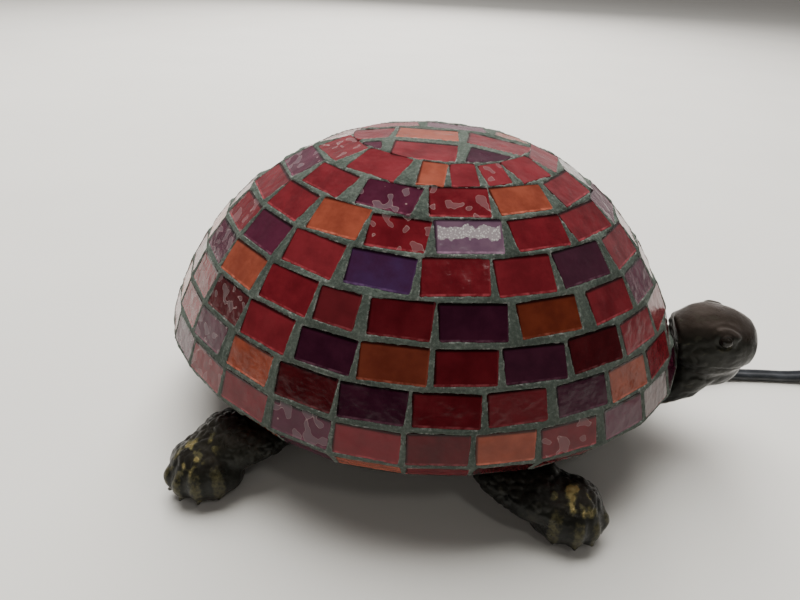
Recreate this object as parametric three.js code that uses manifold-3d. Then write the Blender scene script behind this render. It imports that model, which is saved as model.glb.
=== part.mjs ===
// Tortoise accent lamp: a mosaic glass shell rests on a cast base with a head, four legs and a tail.
// Millimetres. +X towards the head, +Y to the tortoise's left, +Z up, z = 0 on the table.
import * as THREE from 'three';
import { mergeVertices } from 'three/addons/utils/BufferGeometryUtils.js';
import Module from 'manifold-3d';

const wasm = await Module();
wasm.setup();

// ---- Driving dimensions ----
const GAP = 0.3;

// Outside of the mosaic shell: an egg-shaped oval in plan and a steep dome in section.
const SHELL = {
  centreX: -18,
  rear: 87.5,
  front: 102,
  halfWidth: 77,
  crown: 98.3,
  fullness: 2.44,
  slope: 1.59,
  outline: 1.815,
  skew: 12.7,
  egg: 0.082,
  widestZ: 30,
  tuck: 0.09,
};
// Bottom and top height of each course of tiles, and how many tiles go round it.
const COURSES = [
  [22.9, 28.2, 28],
  [30.0, 38.0, 30],
  [40.0, 48.2, 29],
  [50.2, 58.4, 27],
  [60.5, 68.3, 25],
  [70.3, 77.4, 22],
  [79.0, 84.8, 18],
  [86.1, 90.5, 14],
];
const TILE_THICK = 2.2;
const GROUT_SETBACK = 0.5;
const LINER_OUTSIDE = 3.4;
const LINER_INSIDE = 5.0;
const RIM_Z = 22.6;
const CROWN_Z = 91.7;

const PAN_FLOOR_TOP = 13;
const PAN_FLOOR_BOTTOM = 10;
const LEDGE_Z = 22.3;
const LUG_LOW = 5;
const NUT_LOW = 2.1;
const PAD_THICK = 1.0;
const SOLE_Z = PAD_THICK + GAP;
const TIP_X = 100.8;
// The shell lifts off up and backwards, clear of the neck: this far back for each millimetre up.
const LIFT_LEAN = 0.3;

const BULB_Z = 40;
const BULB_RADIUS = 10.5;
const CAP_RADIUS = 5.95;

const BUSHING = { x: 62, y: 30, z: 13.4 };
const CORD_WIDTH = 5.6;
const CORD_THICK = 2.8;
const CORD_LIE = 1.6;
const CORD_LANE_Y = 42;
const SWITCH = { x: 175, length: 46, width: 17, height: 13, split: 6.5, wall: 1.6 };
const COIL = { x: 252, y: CORD_LANE_Y + 39, outer: 42, inner: 18.5, height: 9 };
const PLUG = { x: COIL.x - 39, top: 6, length: 30, width: 25, height: 12, bladeSpacing: 12.7 };

// ---- Materials ----
function finish(color, roughness, metalness = 0) {
  return new THREE.MeshStandardMaterial({ color, roughness, metalness });
}
const BRONZE = finish(0x1d1813, 0.42, 0.7);
const EYE_BLACK = finish(0x080706, 0.15, 0.1);
const GLASS_COLOURS = [0x8c4418, 0x7c1a1c, 0x5a1526, 0x761418, 0x84301a, 0x6c1a30, 0x8a2018, 0x7a3030];
const GROUT = finish(0x4b5549, 0.8);
const LINER = finish(0xb9b2a8, 0.5);
const STEEL = finish(0x9a9a96, 0.35, 0.9);
const BRASS = finish(0xb08a3c, 0.3, 0.9);
const PHENOLIC = finish(0x17120f, 0.4);
const CLEAR_GLASS = finish(0xe8e8e2, 0.08);
const BLACK_PVC = finish(0x101113, 0.5);
const FELT = finish(0x20241f, 0.95);

// ---- Geometry helpers ----

// Leaves positions only, merges shared vertices, drops collapsed triangles and turns the faces outwards.
function closed(geometry) {
  const bare = geometry.clone();
  for (const name of Object.keys(bare.attributes)) {
    if (name !== 'position') bare.deleteAttribute(name);
  }
  const merged = mergeVertices(bare, 1e-4);
  const source = merged.index.array;
  const p = merged.attributes.position;
  const a = new THREE.Vector3();
  const b = new THREE.Vector3();
  const c = new THREE.Vector3();
  const faces = [];
  let volume = 0;
  for (let i = 0; i < source.length; i += 3) {
    const [u, v, w] = source.slice(i, i + 3);
    if (u === v || v === w || w === u) continue;
    faces.push([u, v, w]);
    b.fromBufferAttribute(p, v).cross(c.fromBufferAttribute(p, w));
    volume += a.fromBufferAttribute(p, u).dot(b);
  }
  if (volume < 0) faces.forEach((face) => face.reverse());
  merged.setIndex(faces.flat());
  return merged;
}

function solid(geometry) {
  const mesh = closed(geometry);
  const vertProperties = new Float32Array(mesh.attributes.position.array);
  const triVerts = new Uint32Array(mesh.index.array);
  return new wasm.Manifold(new wasm.Mesh({ numProp: 3, vertProperties, triVerts }));
}

function fromSolid(body) {
  const mesh = body.getMesh();
  const geometry = new THREE.BufferGeometry();
  geometry.setAttribute('position', new THREE.Float32BufferAttribute(mesh.vertProperties, 3));
  geometry.setIndex([...mesh.triVerts]);
  return geometry;
}

// Skins a list of rings, each with the same number of points. A loop joins the last ring to the first;
// otherwise both ends are closed with a fan.
function loft(rings, loop = false) {
  const sides = rings[0].length;
  const points = rings.flat();
  const faces = [];
  const spans = loop ? rings.length : rings.length - 1;
  for (let r = 0; r < spans; r += 1) {
    const here = r * sides;
    const next = ((r + 1) % rings.length) * sides;
    for (let i = 0; i < sides; i += 1) {
      const j = (i + 1) % sides;
      faces.push(here + i, here + j, next + j, here + i, next + j, next + i);
    }
  }
  if (!loop) {
    const fan = (start, flip) => {
      const centre = new THREE.Vector3();
      points.slice(start, start + sides).forEach((q) => centre.addScaledVector(q, 1 / sides));
      const hub = points.push(centre) - 1;
      for (let i = 0; i < sides; i += 1) {
        const j = (i + 1) % sides;
        faces.push(hub, start + (flip ? j : i), start + (flip ? i : j));
      }
    };
    fan(0, true);
    fan((rings.length - 1) * sides, false);
  }
  const geometry = new THREE.BufferGeometry().setFromPoints(points);
  geometry.setIndex(faces);
  return geometry;
}

const bend = (value, power) => Math.sign(value) * Math.abs(value) ** power;

// How far the shell reaches at a height, as a share of its full plan, for a surface set in by `inset`.
function shellShare(z, inset = 0) {
  const share = (h) => (1 - Math.min(h / (SHELL.crown - inset), 1) ** SHELL.slope) ** (1 / SHELL.fullness);
  if (z >= SHELL.widestZ) return share(z);
  return share(SHELL.widestZ) * (1 - SHELL.tuck * ((SHELL.widestZ - z) / 10) ** 1.6);
}

function shellPoint(share, z, angle, inset = 0) {
  const along = bend(Math.cos(angle), 2 / SHELL.outline);
  const across = bend(Math.sin(angle), 2 / SHELL.outline);
  const reach = (along > 0 ? SHELL.front : SHELL.rear) - inset;
  const x = SHELL.centreX + reach * share * along + SHELL.skew * (1 - share);
  const y = (SHELL.halfWidth - inset) * share * across * (1 + SHELL.egg * along);
  return new THREE.Vector3(x, y, z);
}

function shellRing(share, z, sides, inset = 0) {
  const step = (2 * Math.PI) / sides;
  return Array.from({ length: sides }, (_, i) => shellPoint(share, z, (i + 0.5) * step, inset));
}

// One closed band of the shell between two heights and two depths.
function shellBand(low, high, sides, outside, inside) {
  const corners = [[low, outside], [high, outside], [high, inside], [low, inside]];
  return loft(corners.map(([z, inset]) => shellRing(shellShare(z, inset), z, sides, inset)), true);
}

// Cross-sections along a spine. Each stop is [x, y, z, half width, half height]; the width stays level.
function limb(stops, sides = 12) {
  const centres = stops.map(([x, y, z]) => new THREE.Vector3(x, y, z));
  const rings = stops.map(([, , , halfWidth, halfHeight], i) => {
    const ahead = centres[Math.min(i + 1, stops.length - 1)];
    const behind = centres[Math.max(i - 1, 0)];
    const tangent = ahead.clone().sub(behind).normalize();
    const side = new THREE.Vector3(-tangent.y, tangent.x, 0).normalize();
    const up = tangent.clone().cross(side);
    return Array.from({ length: sides }, (_, k) => {
      const turn = ((k + 0.5) / sides) * 2 * Math.PI;
      return centres[i].clone()
        .addScaledVector(side, halfWidth * Math.cos(turn))
        .addScaledVector(up, halfHeight * Math.sin(turn));
    });
  });
  return loft(rings);
}

function ball(x, y, z, rx, ry, rz, segments = 14, rows = 9) {
  return new THREE.SphereGeometry(1, segments, rows).scale(rx, ry, rz).translate(x, y, z);
}

function box(low, high) {
  const size = high.map((value, i) => value - low[i]);
  const middle = high.map((value, i) => (value + low[i]) / 2);
  return new THREE.BoxGeometry(...size).translate(...middle);
}

function post(x, y, low, high, radius, sides = 16) {
  const geometry = new THREE.CylinderGeometry(radius, radius, high - low, sides).rotateX(Math.PI / 2);
  return geometry.translate(x, y, (low + high) / 2);
}

// A profile of [radius, x] turned about the line parallel to X at height z.
function turned(profile, z = BULB_Z, y = 0, sides = 20) {
  const outline = profile.map(([radius, along]) => new THREE.Vector2(radius, along));
  return new THREE.LatheGeometry(outline, sides).rotateZ(-Math.PI / 2).translate(0, y, z);
}

// A route whose frames stay level, so that a flat cord keeps lying on its broad side.
class LevelRoute extends THREE.CatmullRomCurve3 {
  computeFrenetFrames(steps) {
    const tangents = [];
    const normals = [];
    const binormals = [];
    for (let i = 0; i <= steps; i += 1) {
      const tangent = this.getTangentAt(i / steps).normalize();
      const side = new THREE.Vector3(-tangent.y, tangent.x, 0).normalize();
      tangents.push(tangent);
      normals.push(side);
      binormals.push(new THREE.Vector3().crossVectors(tangent, side));
    }
    return { tangents, normals, binormals };
  }
}

function flatCord(points) {
  const route = new LevelRoute(points.map((q) => new THREE.Vector3(...q)), false, 'centripetal');
  const round = CORD_THICK / 2;
  const straight = CORD_WIDTH / 2 - round;
  const section = new THREE.Shape([
    [straight + round, 0],
    [straight + round * 0.7, round * 0.8],
    [straight, round],
    [-straight, round],
    [-straight - round * 0.7, round * 0.8],
    [-straight - round, 0],
    [-straight - round * 0.7, -round * 0.8],
    [-straight, -round],
    [straight, -round],
    [straight + round * 0.7, -round * 0.8],
  ].map(([u, v]) => new THREE.Vector2(u, v)));
  const steps = Math.max(4, Math.round(route.getLength() / (2 * CORD_WIDTH)));
  return new THREE.ExtrudeGeometry(section, { steps, extrudePath: route, bevelEnabled: false });
}

// A block with rounded upright edges.
function roundedBlock(x, y, z0, z1, length, width, radius) {
  const hx = length / 2;
  const hy = width / 2;
  const shape = new THREE.Shape();
  shape.moveTo(hx, -hy + radius);
  shape.lineTo(hx, hy - radius);
  shape.absarc(hx - radius, hy - radius, radius, 0, Math.PI / 2);
  shape.absarc(-hx + radius, hy - radius, radius, Math.PI / 2, Math.PI);
  shape.absarc(-hx + radius, -hy + radius, radius, Math.PI, 1.5 * Math.PI);
  shape.absarc(hx - radius, -hy + radius, radius, 1.5 * Math.PI, 2 * Math.PI);
  const settings = { depth: z1 - z0, bevelEnabled: false, curveSegments: 4 };
  return new THREE.ExtrudeGeometry(shape, settings).translate(x, y, z0);
}

// ---- The lamp ----
const lamp = new THREE.Group();

function add(name, geometry, material) {
  const mesh = new THREE.Mesh(closed(geometry), material.clone());
  mesh.name = name;
  lamp.add(mesh);
}

// -- Mosaic shell --
function addShell() {
  const heights = [RIM_Z, 26, 30, 40, 50, 60, 70, 79, 86];
  const wall = (inset, top) => {
    const levels = [...heights, top - 2.6, top - 0.3];
    return levels.map((z) => shellRing(shellShare(z, inset), z, 34, inset));
  };
  const outer = wall(LINER_OUTSIDE, SHELL.crown - LINER_OUTSIDE).reverse();
  const inner = wall(LINER_INSIDE, SHELL.crown - LINER_INSIDE);
  add('shade_liner', loft([...outer, ...inner]), LINER);

  COURSES.forEach(([low, high, tiles], i) => {
    const glass = finish(GLASS_COLOURS[i], 0.12);
    add(`tile_course_${i}`, shellBand(low, high, tiles, 0, TILE_THICK), glass);
  });
  COURSES.slice(1).forEach(([low], i) => {
    const [, below, tiles] = COURSES[i];
    const band = shellBand(below + 0.2, low - 0.2, tiles, GROUT_SETBACK, TILE_THICK);
    add(`grout_ring_${i + 1}`, band, GROUT);
  });

  const lid = [CROWN_Z, 93.4, 95, 96.6, 97.8].map((z) => shellRing(shellShare(z), z, 12));
  const under = [97.8, 96.2, 94.6, CROWN_Z].map((z) => {
    const low = Math.min(z, SHELL.crown - TILE_THICK - 0.2);
    return shellRing(shellShare(low, TILE_THICK), low, 12, TILE_THICK);
  });
  add('crown_tiles', loft([...lid.reverse(), ...under.reverse()]), finish(0x93401f, 0.12));
}

// -- Base pan: an oval tray with a ledge and an upstand that the shell drops over --
const PAN_PROFILE = [
  [0.62, PAN_FLOOR_BOTTOM],
  [0.7, 11.5],
  [0.745, 14.5],
  [0.79, 19.6],
  [0.858, 20.6],
  [0.858, LEDGE_Z],
  [0.797, LEDGE_Z],
  [0.797, 26.5],
  [0.767, 26.5],
  [0.763, 21],
  [0.71, 15.6],
  [0.69, 13.8],
  [0.6, PAN_FLOOR_TOP],
];
const SCREW_SPOTS = {
  leg_front_right: [17, -37],
  leg_front_left: [17, 37],
  leg_rear_right: [-42, -30],
  leg_rear_left: [-42, 30],
  neck: [46, 0],
};
const BRACKET_SCREW = [-50, 0];

function panSolid() {
  const tray = solid(loft(PAN_PROFILE.map(([share, z]) => shellRing(share, z, 36))));
  const boss = turned([[0, 46], [7, 46], [7, BUSHING.x], [0, BUSHING.x]], BUSHING.z, BUSHING.y);
  const bore = turned([[0, 40], [4.6, 40], [4.6, 70], [0, 70]], BUSHING.z, BUSHING.y);
  let body = tray.add(solid(boss)).subtract(solid(bore));
  for (const [x, y] of [...Object.values(SCREW_SPOTS), BRACKET_SCREW]) {
    body = body.subtract(solid(post(x, y, 5, 20, 1.9, 12)));
  }
  return body;
}

// The space that the tray and the shell keep free of the cast limbs.
function keptClear() {
  const tray = PAN_PROFILE.slice(0, 6).map(([share, z], i) => {
    const grown = share + 0.007;
    return shellRing(grown, i === 0 ? z - GAP : z - 0.35, 36);
  });
  tray.push(shellRing(0.875, 24, 36));
  const dome = [LEDGE_Z, 24, 27, 30.5].map((z) => shellRing(shellShare(Math.max(z, RIM_Z)) + 0.008, z, 36));
  const above = shellRing(shellShare(SHELL.widestZ) + 0.008, 60, 36);
  const back = new THREE.Vector3(-LIFT_LEAN * (60 - SHELL.widestZ), 0, 0);
  dome.push(above.map((q) => q.add(back)));
  return solid(loft(tray)).add(solid(loft(dome)));
}

function lug(spot, towards, halfWidth = 5.5) {
  const [x, y] = spot;
  const z = (PAN_FLOOR_BOTTOM - GAP + LUG_LOW) / 2;
  const height = PAN_FLOOR_BOTTOM - GAP - LUG_LOW;
  const dx = towards[0] - x;
  const dy = towards[1] - y;
  const reach = Math.hypot(dx, dy);
  const back = [x - (dx / reach) * halfWidth, y - (dy / reach) * halfWidth];
  const angle = Math.atan2(dy, dx);
  const length = reach + halfWidth;
  const bar = new THREE.BoxGeometry(length, 2 * halfWidth, height).rotateZ(angle);
  return solid(bar.translate((back[0] + towards[0]) / 2, (back[1] + towards[1]) / 2, z));
}

function cast(pieces, spot, towards, holeRadius = 1.5) {
  let body = pieces.map(solid).reduce((sum, piece) => sum.add(piece)).subtract(keptClear());
  body = body.add(lug(spot, towards)).subtract(solid(post(...spot, 4, 12, holeRadius, 12)));
  return body.subtract(solid(box([-200, -200, -30], [200, 200, SOLE_Z])));
}

// A leg bends out from under the shell to a blunt foot with a fan of clawed toes.
const LEGS = {
  front: {
    spine: [
      [19, -42, 13, 10, 4.5],
      [27, -50, 13.5, 12, 6],
      [34.5, -54.5, 12, 11.2, 7],
      [42, -55.5, 9, 10, 7],
    ],
    foot: [44.2, -54.8, 7.5, 10.4, 10.4, 9.6],
    toes: [-115, -80, -48, -16],
  },
  rear: {
    spine: [
      [-45, -42, 13, 10, 4.5],
      [-51, -50, 14, 12, 6.5],
      [-58.6, -56.5, 13, 11.4, 8.2],
      [-64, -61.5, 9, 10, 7.2],
    ],
    foot: [-64.2, -62.5, 7.5, 10.8, 10.6, 9.4],
    toes: [-140, -108, -76, -44],
  },
};

function legSolid(place, side) {
  const { spine, foot, toes } = LEGS[place];
  const [x, y, z, rx, ry, rz] = foot;
  const toe = (degrees) => {
    const angle = (degrees * Math.PI) / 180;
    const piece = ball(0, 0, 0, 3.9, 2.4, 3.2, 8, 5).rotateZ(angle);
    return piece.translate(x + 7.7 * Math.cos(angle), y + 7.5 * Math.sin(angle), 4.2);
  };
  const pieces = [limb(spine), ball(x, y, z, rx, ry, rz, 14, 8), ...toes.map(toe)];
  const spot = SCREW_SPOTS[`leg_${place}_right`];
  const body = cast(pieces, spot, [spine[2][0], spine[2][1]]);
  return side === 'left' ? body.mirror([0, 1, 0]) : body;
}

function addBase() {
  add('base_pan', fromSolid(panSolid()), BRONZE);
  for (const place of ['front', 'rear']) {
    const [x, y] = LEGS[place].foot;
    for (const side of ['right', 'left']) {
      const sign = side === 'left' ? -1 : 1;
      add(`leg_${place}_${side}`, fromSolid(legSolid(place, side)), BRONZE);
      add(`foot_pad_${place}_${side}`, post(x, sign * y, 0, PAD_THICK, 7, 20), FELT);
    }
  }
}

// -- Head on its neck, with a closed beak, brows and eye sockets --
const EYE = { x: 87.8, y: 10.6, z: 44, radius: 2.6 };

function addHead() {
  const neck = limb([
    [55, 0, 13.4, 9, 4.6],
    [69, 0, 14.6, 8.6, 5],
    [76, 0, 16.8, 8.4, 5.8],
    [81.6, 0, 21.5, 8.8, 7.6],
    [84.2, 0, 27.5, 9.8, 9],
    [84.4, 0, 33, 11, 9.9],
    [84, 0, 37, 10.8, 10],
  ], 14);
  const skull = limb([
    [74, 0, 36, 8.4, 8],
    [77.4, 0, 36.4, 9.8, 9.4],
    [80.6, 0, 36.8, 11, 12],
    [84.5, 0, 37.2, 12, 12.9],
    [88.5, 0, 37.8, 12.2, 12.4],
    [92.5, 0, 38, 11.4, 11.2],
    [96.5, 0, 37.6, 9.4, 9],
    [99.3, 0, 37, 6.8, 6.4],
    [TIP_X, 0, 37, 3.6, 3.4],
  ], 18);
  const throat = ball(89.2, 0, 29.4, 10.2, 7, 9.2, 16, 10);
  const brow = (side) => ball(EYE.x, side * 8.3, EYE.z + 1.5, 4.2, 2.4, 1.6, 8, 5);
  const pieces = [neck, skull, throat, brow(1), brow(-1)];
  let body = cast(pieces, SCREW_SPOTS.neck, [66, 0]);
  for (const side of [1, -1]) {
    body = body.subtract(solid(ball(EYE.x, side * EYE.y, EYE.z, 2.9, 2.9, 2.9, 10, 6)));
  }
  body = body.subtract(solid(box([93, -16, 33.2], [110, 16, 34])));
  add('head_and_neck', fromSolid(body), BRONZE);
  add('eye_right', ball(EYE.x, -EYE.y, EYE.z, EYE.radius, EYE.radius, EYE.radius, 10, 6), EYE_BLACK);
  add('eye_left', ball(EYE.x, EYE.y, EYE.z, EYE.radius, EYE.radius, EYE.radius, 10, 6), EYE_BLACK);
}

function addTail() {
  const tail = limb([
    [-66, 0, 13, 8, 4],
    [-80, 0, 12, 7, 5.5],
    [-90, 0, 9.5, 4.8, 4.4],
    [-97, 0, 7.2, 2.8, 2.8],
    [-TIP_X + 0.2, 0, 6, 0.9, 0.9],
  ]);
  add('tail', fromSolid(cast([tail], BRACKET_SCREW, [-80, 0], 2)), BRONZE);
}

// A pan-head screw through the floor of the pan into the lug of a casting.
function addScrews() {
  for (const [name, [x, y]] of Object.entries(SCREW_SPOTS)) {
    const top = PAN_FLOOR_TOP + GAP;
    const head = solid(post(x, y, top, top + 2, 3.1, 14));
    const slot = solid(box([x - 4, y - 0.4, top + 1.2], [x + 4, y + 0.4, top + 3]));
    const shank = solid(post(x, y, 6.2, top + 0.5, 1.2, 10));
    add(`screw_${name}`, fromSolid(head.subtract(slot).add(shank)), STEEL);
  }
}

// -- Lamp holder on an L bracket, with the bulb lying along the shell --
function addLampHolder() {
  const low = PAN_FLOOR_TOP + GAP;
  const foot = solid(box([-64, -8, low], [-40, 8, low + 1.2]));
  const upright = solid(box([-64, -8, low], [-62.8, 8, 49]));
  const nippleHole = turned([[0, -70], [5.3, -70], [5.3, -55], [0, -55]]);
  const screwHole = post(...BRACKET_SCREW, 10, 20, 1.9, 12);
  const bracket = foot.add(upright).subtract(solid(nippleHole)).subtract(solid(screwHole));
  add('holder_bracket', fromSolid(bracket), STEEL);

  const head = low + 1.2 + GAP;
  const screwHead = solid(post(...BRACKET_SCREW, head, head + 2, 3.4, 14));
  const shank = solid(post(...BRACKET_SCREW, NUT_LOW, head + 0.5, 1.5, 12));
  add('bracket_screw', fromSolid(screwHead.add(shank)), STEEL);
  const nut = solid(post(...BRACKET_SCREW, NUT_LOW, LUG_LOW - GAP, 3.6, 6));
  add('bracket_nut', fromSolid(nut.subtract(solid(post(...BRACKET_SCREW, 0, 20, 1.8, 12)))), STEEL);

  add('lamp_holder', turned([
    [0, -68.5], [5, -68.5], [5, -62.5], [10.5, -62.5], [10.5, -30], [7.3, -30], [7.3, -50], [0, -50],
  ]), PHENOLIC);
  add('holder_locknut', turned([
    [5.3, -67], [8.4, -67], [8.4, -64.3], [5.3, -64.3], [5.3, -67],
  ], BULB_Z, 0, 12), STEEL);
  add('screw_shell', turned([
    [6.35, -48], [7, -48], [7, -30.6], [6.35, -30.6], [6.35, -48],
  ]), BRASS);
  add('centre_contact', turned([[0, -49.7], [3, -49.7], [3, -48.8], [0, -48.8]], BULB_Z, 0, 12), BRASS);
}

function addBulb() {
  const bulbous = [
    [-31.2, 5.9], [-27, 7.2], [-22, 9.4], [-16.5, BULB_RADIUS],
    [-10, 9.9], [-4, 7.9], [1.5, 4.9], [4.6, 2.2],
  ];
  const wall = 0.8;
  const outside = bulbous.map(([x, r]) => [r, x]);
  const inside = bulbous.map(([x, r]) => [Math.max(r - wall, 0.6), Math.min(x, 4.2)]).reverse();
  add('bulb_glass', turned([[0, 4.7], ...inside, ...outside, [0, 5.8]], BULB_Z, 0, 14), CLEAR_GLASS);
  add('bulb_cap', turned([
    [0, -48.4], [1.9, -48.4], [2.2, -47.2], [3.4, -47.2], [CAP_RADIUS, -45], [CAP_RADIUS, -31.5], [0, -31.5],
  ]), BRASS);
  add('bulb_stem', turned([
    [0, -31.2], [4, -31.2], [2, -27], [1.3, -18], [0, -18],
  ], BULB_Z, 0, 12), CLEAR_GLASS);
  const arch = new THREE.CatmullRomCurve3([
    [-17.6, -3.2], [-12, -3], [-8.4, 0], [-12, 3], [-17.6, 3.2],
  ].map(([x, y]) => new THREE.Vector3(x, y, BULB_Z)));
  const wire = new THREE.Shape().absarc(0, 0, 0.35, 0, 2 * Math.PI);
  const options = { steps: 16, extrudePath: arch, bevelEnabled: false, curveSegments: 3 };
  add('filament', new THREE.ExtrudeGeometry(wire, options), STEEL);
}

// -- Supply cord: bushing, strain relief, in-line rocker switch, coil and plug --
const RELIEF = [
  [BUSHING.x + 2.1, BUSHING.y, BUSHING.z, 5.2, 4.4],
  [66.5, BUSHING.y, BUSHING.z, 5.1, 4.3],
  [72, 30.2, 12.6, 4.7, 3.8],
  [81, 30.9, 10.6, 4.1, 3],
  [90, 32, 8, 3.5, 2.2],
];
const CORD_TO_SWITCH = [
  [90.3, 32.05, 7.9],
  [96, 32.9, 6.1],
  [102, 34.1, 4.2],
  [109, 35.8, 2.4],
  [117, 37.6, CORD_LIE],
  [127, 39.5, CORD_LIE],
  [137, 41.2, CORD_LIE],
  [144, CORD_LANE_Y, 2.7],
  [148.5, CORD_LANE_Y, 4.2],
  [151.6, CORD_LANE_Y, 4.4],
];
const CORD_TO_COIL = [
  [198.4, CORD_LANE_Y, 4.4],
  [201.5, CORD_LANE_Y, 4.1],
  [206.5, CORD_LANE_Y, 2.4],
  [213, CORD_LANE_Y, CORD_LIE],
  [222, CORD_LANE_Y, CORD_LIE],
  [COIL.x - 21, CORD_LANE_Y, CORD_LIE],
];
const CORD_TO_PLUG = [
  [PLUG.x, 58.5, 7.1],
  [PLUG.x, 50, 6.2],
  [PLUG.x, CORD_LANE_Y, 5],
  [PLUG.x, 34, 3.6],
  [PLUG.x, 26, 2.1],
  [PLUG.x, 19, CORD_LIE + 0.2],
  [PLUG.x, 13, 3],
  [PLUG.x, 9.5, 4.9],
  [PLUG.x, PLUG.top + 0.4, 5.4],
];
// Inside the pan the cord runs along the floor and up to the back of the lamp holder.
const SUPPLY_LEAD = [
  [49.5, BUSHING.y, 15.4],
  [40, 30, 16.6],
  [24, 28, 16.4],
  [0, 26, 16],
  [-26, 25, 16],
  [-48, 22, 16.6],
  [-63, 14, 20],
  [-70, 7, 28],
  [-71.5, 1, 36],
];

function addCord() {
  const { x, y, z } = BUSHING;
  add('cord_bushing', turned([
    [3.2, 50], [4.3, 50], [4.3, x + GAP], [6.4, x + GAP], [6.4, x + 1.8], [3.2, x + 1.8], [3.2, 50],
  ], z, y), BLACK_PVC);
  add('strain_relief', limb(RELIEF), BLACK_PVC);
  add('supply_lead', flatCord(SUPPLY_LEAD), BLACK_PVC);
  add('cord_to_switch', flatCord(CORD_TO_SWITCH), BLACK_PVC);
  add('cord_to_coil', flatCord(CORD_TO_COIL), BLACK_PVC);
  add('cord_to_plug', flatCord(CORD_TO_PLUG), BLACK_PVC);
  const ring = [
    [COIL.inner, 0], [COIL.outer, 0], [COIL.outer, COIL.height], [COIL.inner, COIL.height], [COIL.inner, 0],
  ].map(([r, h]) => new THREE.Vector2(r, h));
  const coil = new THREE.LatheGeometry(ring, 32).rotateX(Math.PI / 2);
  add('cord_coil', coil.translate(COIL.x, COIL.y, 0), BLACK_PVC);
}

const ROCKER = { length: 15, width: 7.5, pivotZ: 10.4, tilt: -8 };

function addSwitch() {
  const { x, length, width, height, split, wall } = SWITCH;
  const shell = (low, high) => solid(roundedBlock(x, CORD_LANE_Y, low, high, length, width, 4));
  const inside = [length - 2 * wall, width - 2 * wall];
  const hollow = (low, high) => solid(roundedBlock(x, CORD_LANE_Y, low, high, ...inside, 3));
  const lower = shell(0, split).subtract(hollow(wall, split + 1));
  add('switch_lower', fromSolid(lower), BLACK_PVC);
  const window = solid(box(
    [x - ROCKER.length / 2 - 0.5, CORD_LANE_Y - ROCKER.width / 2 - 0.5, height - 4],
    [x + ROCKER.length / 2 + 0.5, CORD_LANE_Y + ROCKER.width / 2 + 0.5, height + 4],
  ));
  const upper = shell(split + GAP, height).subtract(hollow(split - 1, height - wall)).subtract(window);
  add('switch_upper', fromSolid(upper), BLACK_PVC);

  const rise = ROCKER.pivotZ;
  const outline = new THREE.Shape();
  outline.moveTo(-ROCKER.length / 2, 0);
  outline.lineTo(ROCKER.length / 2, 0);
  outline.lineTo(ROCKER.length / 2, 4.4);
  outline.quadraticCurveTo(0, 2.4, -ROCKER.length / 2, 4.4);
  const settings = { depth: ROCKER.width, bevelEnabled: false, curveSegments: 6 };
  const rocker = new THREE.ExtrudeGeometry(outline, settings);
  rocker.rotateX(Math.PI / 2).translate(0, ROCKER.width / 2, 0);
  rocker.rotateY((ROCKER.tilt * Math.PI) / 180).translate(x, CORD_LANE_Y, rise);
  add('switch_rocker', rocker, PHENOLIC);
}

function addPlug() {
  const { x, top, length, width, height, bladeSpacing } = PLUG;
  const rear = top - length;
  const outline = new THREE.Shape([
    [-width / 2, rear], [width / 2, rear], [width / 2, rear + 14],
    [4.6, top], [-4.6, top], [-width / 2, rear + 14],
  ].map(([u, v]) => new THREE.Vector2(u, v)));
  const body = new THREE.ExtrudeGeometry(outline, { depth: height, bevelEnabled: false });
  add('plug_body', body.translate(x, 0, 0), BLACK_PVC);
  [-1, 1].forEach((side, i) => {
    const middle = x + (side * bladeSpacing) / 2;
    const low = [middle - 0.75, rear - 16, height / 2 - 3.15];
    const blade = box(low, [middle + 0.75, rear - GAP, height / 2 + 3.15]);
    add(`plug_blade_${i + 1}`, blade, BRASS);
  });
}

addShell();
addBase();
addHead();
addTail();
addScrews();
addLampHolder();
addBulb();
addCord();
addSwitch();
addPlug();

export default lamp;
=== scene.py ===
import random
from math import cos, pi, radians, sin

import bmesh
import bpy
import numpy as np
from mathutils import Matrix, Vector, noise


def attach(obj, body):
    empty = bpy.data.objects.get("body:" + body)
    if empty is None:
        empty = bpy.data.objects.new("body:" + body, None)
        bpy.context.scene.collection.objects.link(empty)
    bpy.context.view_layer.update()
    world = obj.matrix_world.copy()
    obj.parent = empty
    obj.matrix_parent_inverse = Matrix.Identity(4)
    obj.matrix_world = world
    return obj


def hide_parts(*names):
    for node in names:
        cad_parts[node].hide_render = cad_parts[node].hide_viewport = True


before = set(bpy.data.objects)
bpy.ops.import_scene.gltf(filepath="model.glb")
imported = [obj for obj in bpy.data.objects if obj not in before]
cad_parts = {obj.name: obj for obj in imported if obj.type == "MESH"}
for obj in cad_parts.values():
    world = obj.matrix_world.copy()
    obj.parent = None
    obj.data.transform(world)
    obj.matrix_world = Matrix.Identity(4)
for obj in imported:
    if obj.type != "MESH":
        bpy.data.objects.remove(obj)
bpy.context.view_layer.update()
MM = 0.001
X, Y, Z = np.eye(3)

# ---- Camera and light: the lamp from its right side, a little towards the head ----
VIEW = {"azimuth": 9.0, "elevation": 29.7, "roll": 3.0, "distance": 221, "lens": 27.9}
AIM = Vector((-17.15, 1.3, 36.4))
# Place, size and power of each lamp in metres and watts, and its colour.
SOFTBOXES = {
    "ceiling_softbox": ((-0.25, 0.5, 1.25), 1.3, 49, (1.0, 0.985, 0.96)),
    "back_softbox": ((-0.25, 1.4, 0.8), 0.9, 22, (1.0, 0.95, 0.93)),
    "front_fill": ((-0.2, -1.1, 0.45), 0.9, 1.8, (1.0, 0.93, 0.88)),
}
ROOM_LAMP = ((0.42, -0.55, 0.95), 0.12, 0.7, (1.0, 0.97, 0.92))
ROOM_TONES = ((0.0, 0.05), (0.45, 0.12), (0.75, 0.5), (1.0, 1.0))
ROOM_TINT = (1, 0.955, 0.93)
ROOM_STRENGTH = 0.8


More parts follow.
